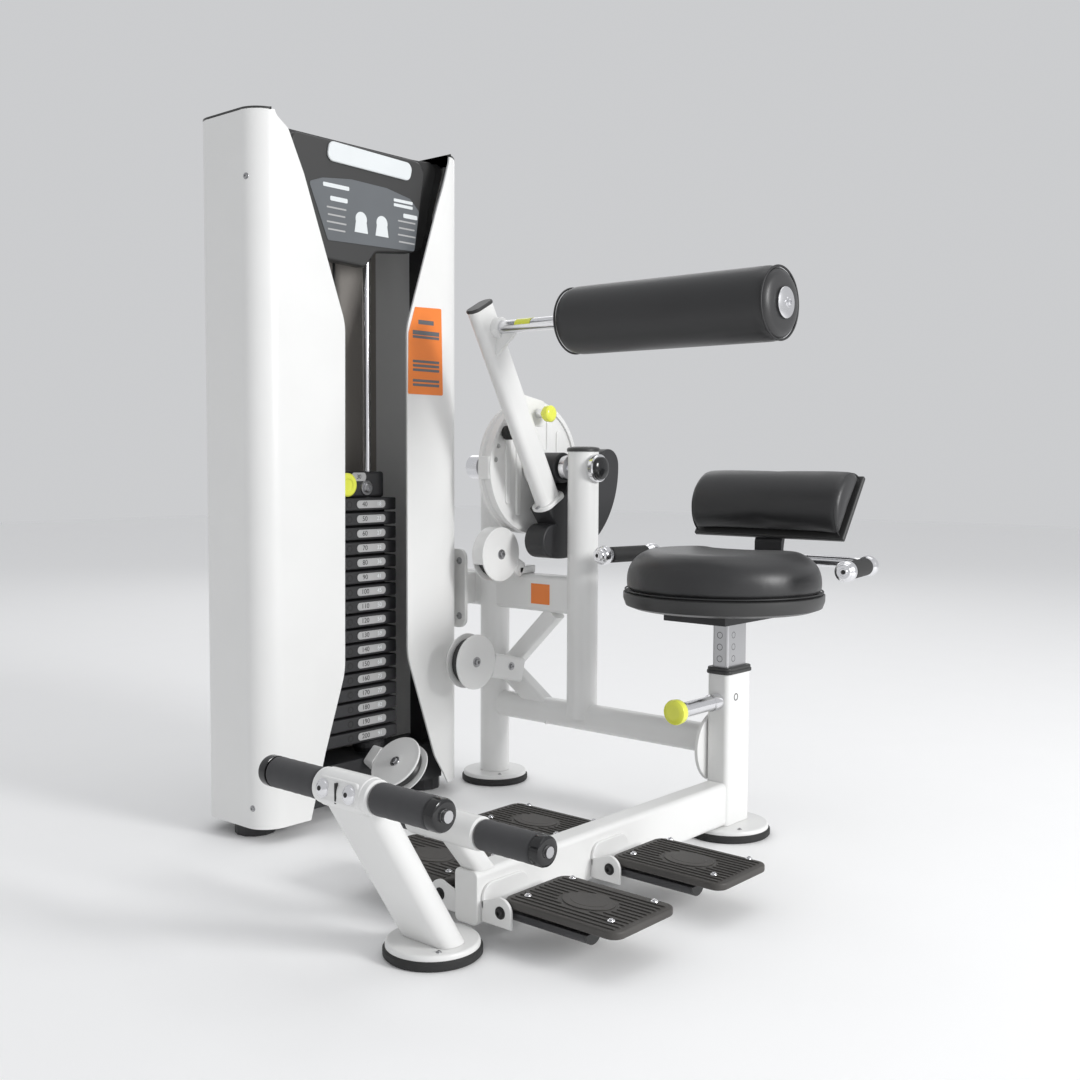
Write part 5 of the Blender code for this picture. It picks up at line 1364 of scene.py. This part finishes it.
def build_chest_roll():
    """Round roll with soft rims, a stitched end disc and a seam cord at each end."""
    settings = bpy.context.scene.machine_pads
    high = high_of("roll_pad")
    low = low_of("roll_pad")
    centre = joint_point("roll_spin")
    centre.x = 0
    half = high.x - 0.003
    radius = (high.z - low.z) / 2 - 0.004
    edge = 0.026
    corner = [(radius - edge + edge * math.cos(math.radians(a)),
               half - edge + edge * math.sin(math.radians(a)))
              for a in range(90, -1, -15)]
    profile = [(0.018, half)] + corner
    count = 24
    for k in range(1, count):
        profile.append((radius, half - edge - (2 * half - 2 * edge) * k / count))
    profile += [(r, -h) for r, h in reversed(corner)] + [(0.018, -half)]
    piece = lathe("chest_roll_cover", centre, ALONG_X, profile, "chest_roll", *leather(), ("roll_pad",),
                  closed=True)
    piece.modifiers.clear()
    swell(piece)
    for side in (-1, 1):
        ring = []
        for k in range(64):
            angle = math.tau * k / 64
            spot = centre + Vector((side * (half - 0.0105), math.cos(angle) * (radius - 0.0030),
                                    math.sin(angle) * (radius - 0.0030)))
            ring.append(spot)
        pipe(f"chest_roll_seam_{'l' if side > 0 else 'r'}", ring, settings.piping, "chest_roll", seam_cord(),
             "vinyl",
             closed=True)


def seat_outline(shrink, steps=44):
    """Half-moon with a concave back edge, inset by shrink."""
    low = low_of("seat_pad")
    high = high_of("seat_pad")
    whole = (high.x - low.x) / 2
    centre_y = low.y + whole
    radius = whole - shrink
    lobe_y = high.y - shrink
    lobe = math.degrees(math.asin((lobe_y - centre_y) / radius))
    outer = arc((0, centre_y), radius, lobe, -180 - lobe, steps)
    notch_low = 0.050 - shrink * 0.2
    lobe_x = radius * math.cos(math.radians(lobe)) - 0.050 + shrink * 0.3
    depth = lobe_y - notch_low
    notch_r = (lobe_x ** 2 + depth ** 2) / (2 * depth)
    sweep = math.degrees(math.asin(lobe_x / notch_r))
    return outer + arc((0, notch_low + notch_r), notch_r, -90 - sweep, -90 + sweep, 16)


def layered(name, outlines, body, mat, slot, stands_for):
    """Closed form through a stack of like outlines, each given with its height."""
    mesh = bpy.data.meshes.new(name)
    bm = bmesh.new()
    rings = [[bm.verts.new((x, y, z)) for x, y in outline] for outline, z in outlines]
    for below, above in zip(rings, rings[1:]):
        for i in range(len(below)):
            bm.faces.new((below[i - 1], below[i], above[i], above[i - 1]))
    bm.faces.new(rings[0])
    bm.faces.new(rings[-1])
    bmesh.ops.recalc_face_normals(bm, faces=list(bm.faces))
    bm.to_mesh(mesh)
    bm.free()
    piece = add_piece(name, mesh, Matrix.Identity(4), body, mat, slot, stands_for)
    piece.data.shade_smooth()
    return piece


def build_seat_pads():
    """Crowned half-moon cushion with its seam over a moulded board."""
    settings = bpy.context.scene.machine_pads
    low = low_of("seat_pad")
    high = high_of("seat_pad")
    crown = high.z - 0.004
    layers = [(seat_outline(0.012), low.z + 0.001), (seat_outline(0.004), low.z + 0.006),
              (seat_outline(0.001), low.z + 0.022)]
    layers += [(seat_outline(shrink), crown - drop) for shrink, drop in
               ((0.003, 0.046), (0.009, 0.031), (0.020, 0.017), (0.036, 0.007), (0.055, 0.0))]
    piece = layered("seat_cushion", layers, "seat", *leather(), ("seat_pad",))
    swell(piece, lambda point: min(1.0, max(0.0, (point.z - low.z) / 0.02)))
    seam = [(x, y, low.z + 0.003) for x, y in seat_outline(0.0035, 72)]
    pipe("seat_seam", seam, settings.piping * 0.8, "seat", seam_cord(), "vinyl", closed=True)
    board_low = low_of("seat_board")
    board_high = high_of("seat_board")
    layers = [(seat_outline(0.020), board_low.z), (seat_outline(0.004), board_low.z + 0.006),
              (seat_outline(-0.001), board_low.z + 0.020), (seat_outline(-0.001), board_high.z - 0.003),
              (seat_outline(0.003), board_high.z)]
    board = layered("seat_shell", layers, "seat", *black(), ("seat_board",))
    soften(board, 0.0)


def build_back_pads():
    """Half-round back roll over its board."""
    settings = bpy.context.scene.machine_pads
    low_point = Vector((0.145, 0.655))
    high_point = Vector((0.240, 0.792))
    along = (high_point - low_point).normalized()
    out = Vector((-along.y, along.x))
    half_x = high_of("lumbar_pad").x - 0.003
    bulge = 0.067
    middle = (low_point + high_point) / 2
    half = (high_point - low_point).length / 2 - 0.003
    outline = []
    for i in range(25):
        angle = math.pi * i / 24
        outline.append(tuple(middle + along * half * math.cos(angle) + out * (bulge * math.sin(angle) + 0.001)))
    pad = slab("back_cushion", outline, side_view(0), 2 * half_x, "seat", *leather(), 0.016, ("lumbar_pad",))
    bake(pad)
    swell(pad)
    for side in (-1, 1):
        ring = []
        for i in range(25):
            angle = math.pi * i / 24
            spot = middle + along * (half - 0.004) * math.cos(angle) + out * ((bulge - 0.002) * math.sin(angle) + 0.002)
            ring.append((side * (half_x - 0.008), spot.x, spot.y))
        pipe(f"back_seam_{'l' if side > 0 else 'r'}", ring, settings.piping * 0.8, "seat", seam_cord(),
             "vinyl")
    board = [low_point - along * 0.001, high_point + along * 0.001, high_point + along * 0.001 - out * 0.012,
             low_point - along * 0.001 - out * 0.012]
    slab("back_board", rounded([tuple(p) for p in board], 0.004), side_view(0), 2 * half_x + 0.004, "seat",
         *black(), 0.003, ("lumbar_board",))


def build_seat_frame():
    """Bent channel, braces and adjusting tube under the seat."""
    # Black cast finish over the whole seat frame: real black on its lever box, painted shade on the white bracket,
    # which only looks dark in shadow.
    repaint("seat_frame", cast_black())
    low = low_of("seat_tube")
    high = high_of("seat_tube")
    outline = rectangle(high.x - low.x, high.y - low.y, 0.007)
    slab("seat_inner_tube", outline, plan_view((low.z + high.z) / 2), high.z - low.z, "seat", *steely(),
         0.0008,
         ("seat_tube",))
    for i in range(5):
        # Holes drawn as flat black discs: painted shade of the tube's dark inside.
        z = high.z - 0.025 - i * 0.026
        lathe(f"seat_tube_hole_shade_{i}", (0, low.y + 0.0002, z), (0, -1, 0),
              [(0.0, -0.002), (0.0055, -0.002), (0.0060, 0.0002),
              (0.0072, 0.0003), (0.0078, -0.0005)], "seat", *black(), steps=24)
        lathe(f"seat_tube_side_hole_shade_{i}", (high.x - 0.0002, -0.016, z), ALONG_X,
              [(0.0, -0.002), (0.0055, -0.002),
              (0.0060, 0.0002), (0.0072, 0.0003), (0.0078, -0.0005)], "seat", *black(), steps=24)


def build_handles():
    """Bent chrome tube with ball ends and ribbed rubber grips."""
    z = middle_of("handle_frame").z
    back_y = 0.145
    points = []
    for side in (-1, 1):
        front = Vector((side * 0.307, -0.060, z))
        rear = Vector((side * 0.279, 0.093, z))
        bend = Vector((side * 0.250, back_y, z))
        near = Vector((side * 0.215, back_y, z))
        corner = [rear * (1 - t) ** 2 + bend * 2 * t * (1 - t) + near * t ** 2 for t in [k / 12 for k in range(1, 13)]]
        half = [front, rear] + corner
        points += half if side < 0 else half[::-1]
    pipe("handle_tube", points, 0.0125, "seat", *bright(), ("handle_frame",), sides=8)
    for name, side in (("left", 1), ("right", -1)):
        front = Vector((side * 0.307, -0.060, z))
        rear = Vector((side * 0.279, 0.093, z))
        along = (rear - front).normalized()
        for end, spot, out in (("front", front, -along), ("rear", rear, along)):
            cap = [(0, 0.0225), (0.006, 0.0225), (0.006, 0.0255), (0.009, 0.0255), (0.010, 0.0240),
                   (0.0165, 0.0240),
                   (0.0190, 0.0220), (0.0205, 0.0190), (0.0205, 0.0160), (0.0255, 0.0110), (0.0268, 0.0060),
                   (0.0268, -0.0060), (0.0250, -0.0110), (0.0215, -0.0150), (0.0205, -0.0220),
                   (0.0175, -0.0262),
                   (0.0130, -0.0266), (0, -0.0266)]
            cap = [(radius * 0.82, height * 0.82) for radius, height in cap]
            lathe(f"handle_cap_{name}_{end}", spot, out, cap, "seat", *bright())
            disc(f"handle_bolt_{name}_{end}", spot + out * 0.0185, out, 0.0045, 0.0012, "seat", *rubbery(),
                 0.0004)
        half = (rear - front).length / 2 - 0.0219
        profile = [(0.0130, half), (0.0168, half), (0.0185, half - 0.003), (0.0185, -half + 0.003),
                   (0.0168, -half),
                   (0.0130, -half)]
        lathe(f"grip_sleeve_{name}", (front + rear) / 2, along, profile, "seat", *rubbery(),
              ("grip_" + name,),
              closed=True)


# ---- stage ---------------------------------------------------------------------------------
def build_stage():
    """Pale floor, soft lights and the camera."""
    mesh = slab_mesh("floor", [(-14, -14), (14, -14), (14, 14), (-14, 14)], 0.02)
    floor = bpy.data.objects.new("floor", mesh)
    floor.location = (0, 0, -0.0105)
    bpy.context.scene.collection.objects.link(floor)
    mesh.materials.append(finish_material("pale_floor", (0.97, 0.97, 0.97), 0.8, grain=60.0, bump=0.0,
                                          tone=0.003))
    world = bpy.data.worlds.new("studio")
    world.use_nodes = True
    world.node_tree.nodes["Background"].inputs["Color"].default_value = (0.97, 0.98, 1.0, 1.0)
    world.node_tree.nodes["Background"].inputs["Strength"].default_value = 0.62
    bpy.context.scene.world = world
    bpy.context.scene.view_settings.view_transform = "Standard"
    lights = (("sun", (5.2, 0.4, 2.4), 1.4, 200.0), ("top", (0.4, 0.8, 5.0), 3.0, 25.0),
              ("back", (-4.0, 3.5, 3.5), 3.0, 30.0))
    for name, spot, size, power in lights:
        lamp = bpy.data.lights.new(name, "AREA")
        lamp.size = size
        lamp.energy = power
        light = bpy.data.objects.new(name, lamp)
        bpy.context.scene.collection.objects.link(light)
        aim = Vector((-0.2, -0.4, 0.7)) - Vector(spot)
        light.matrix_world = axes_matrix(spot, ALONG_X, -aim)
    camera_data = bpy.data.cameras.new("camera")
    camera_data.sensor_width = 36.0
    camera_data.lens = 41.66
    camera = bpy.data.objects.new("camera", camera_data)
    bpy.context.scene.collection.objects.link(camera)
    azimuth = math.radians(40.711)
    pitch = math.radians(3.668)
    roll = math.radians(0.237)
    forward = Vector((-math.sin(azimuth) * math.cos(pitch), math.cos(azimuth) * math.cos(pitch),
                      -math.sin(pitch)))
    level = Vector((math.cos(azimuth), math.sin(azimuth), 0))
    upright = level.cross(forward)
    right = level * math.cos(roll) + upright * math.sin(roll)
    up = upright * math.cos(roll) - level * math.sin(roll)
    matrix = Matrix((right, up, -forward)).transposed().to_4x4()
    matrix.translation = (1.4685, -2.3498, 0.825)
    camera.matrix_world = matrix
    bpy.context.scene.camera = camera


# ---- operators -----------------------------------------------------------------------------
class MACHINE_OT_covers(bpy.types.Operator):
    """Build the tower's side covers, gaskets and back panels"""

    bl_idname = "machine.covers"
    bl_label = "Tower covers"

    def execute(self, context):
        build_covers()
        return {"FINISHED"}


class MACHINE_OT_header(bpy.types.Operator):
    """Build the layered header with its plain card"""

    bl_idname = "machine.header"
    bl_label = "Header"

    def execute(self, context):
        build_header()
        return {"FINISHED"}


class MACHINE_OT_stack(bpy.types.Operator):
    """Build the weight plates, guide rods and bumpers"""

    bl_idname = "machine.stack"
    bl_label = "Weight stack"

    def execute(self, context):
        build_stack()
        build_inner_frame()
        return {"FINISHED"}


class MACHINE_OT_head(bpy.types.Operator):
    """Build the head plate, the selector pin and its lanyard"""

    bl_idname = "machine.head"
    bl_label = "Head plate and pin"

    def execute(self, context):
        build_head()
        return {"FINISHED"}


class MACHINE_OT_floor_frame(bpy.types.Operator):
    """Build the feet, base beam, posts and crossbars"""

    bl_idname = "machine.floor_frame"
    bl_label = "Floor frame"

    def execute(self, context):
        build_feet()
        build_beam()
        build_seat_post()
        round_post("pivot_post", -0.036)
        round_post("rear_post")
        build_crossbars()
        return {"FINISHED"}


class MACHINE_OT_foot_rests(bpy.types.Operator):
    """Build the foot bar, the foam rollers and the ribbed foot plates"""

    bl_idname = "machine.foot_rests"
    bl_label = "Foot rests"

    def execute(self, context):
        build_foot_bar()
        build_rollers()
        build_treads()
        return {"FINISHED"}


class MACHINE_OT_pulleys(bpy.types.Operator):
    """Build the pulleys and finish the cable"""

    bl_idname = "machine.pulleys"
    bl_label = "Pulleys"

    def execute(self, context):
        build_pulleys()
        return {"FINISHED"}


class MACHINE_OT_arm(bpy.types.Operator):
    """Build the cam, shaft, counterweight and pressing arm"""

    bl_idname = "machine.arm"
    bl_label = "Pressing arm"

    def execute(self, context):
        build_cam()
        build_shaft()
        build_counterweight()
        build_arm()
        return {"FINISHED"}


class MACHINE_OT_cushions(bpy.types.Operator):
    """Build the chest roll, seat cushion and back cushion"""

    bl_idname = "machine.cushions"
    bl_label = "Cushions"

    def execute(self, context):
        build_chest_roll()
        build_seat_pads()
        build_back_pads()
        return {"FINISHED"}


class MACHINE_OT_seat_frame(bpy.types.Operator):
    """Build the seat's frame, handles and grips"""

    bl_idname = "machine.seat_frame"
    bl_label = "Seat frame"

    def execute(self, context):
        build_seat_frame()
        build_handles()
        return {"FINISHED"}


class MACHINE_OT_stage(bpy.types.Operator):
    """Build the floor, lights and camera"""

    bl_idname = "machine.stage"
    bl_label = "Stage"

    def execute(self, context):
        build_stage()
        return {"FINISHED"}


class MACHINE_PT_panel(bpy.types.Panel):
    """Buttons and sizes of the machine"""

    bl_idname = "MACHINE_PT_panel"
    bl_label = "Torso Flexion Machine"
    bl_space_type = "VIEW_3D"
    bl_region_type = "UI"
    bl_category = "Machine"

    def draw(self, context):
        layout = self.layout
        for settings in (context.scene.machine_finish, context.scene.machine_pads,
                         context.scene.machine_detail):
            for name in settings.__annotations__:
                layout.prop(settings, name)
        for operator in OPERATORS:
            layout.operator(operator.bl_idname)


SETTINGS = (FinishSettings, PadSettings, DetailSettings)
OPERATORS = (MACHINE_OT_covers, MACHINE_OT_header, MACHINE_OT_stack, MACHINE_OT_head, MACHINE_OT_floor_frame,
             MACHINE_OT_foot_rests, MACHINE_OT_pulleys, MACHINE_OT_arm, MACHINE_OT_cushions,
             MACHINE_OT_seat_frame,
             MACHINE_OT_stage)


def register():
    for cls in SETTINGS + OPERATORS + (MACHINE_PT_panel,):
        bpy.utils.register_class(cls)
    bpy.types.Scene.machine_finish = bpy.props.PointerProperty(type=FinishSettings)
    bpy.types.Scene.machine_pads = bpy.props.PointerProperty(type=PadSettings)
    bpy.types.Scene.machine_detail = bpy.props.PointerProperty(type=DetailSettings)


def unregister():
    del bpy.types.Scene.machine_detail
    del bpy.types.Scene.machine_pads
    del bpy.types.Scene.machine_finish
    for cls in reversed(SETTINGS + OPERATORS + (MACHINE_PT_panel,)):
        bpy.utils.unregister_class(cls)


def main():
    register()
    bpy.ops.machine.covers()
    bpy.ops.machine.header()
    bpy.ops.machine.stack()
    bpy.ops.machine.head()
    bpy.ops.machine.floor_frame()
    bpy.ops.machine.foot_rests()
    bpy.ops.machine.pulleys()
    bpy.ops.machine.arm()
    bpy.ops.machine.cushions()
    bpy.ops.machine.seat_frame()
    bpy.ops.machine.stage()
    bpy.context.view_layer.update()


if __name__ == "__main__":
    main()
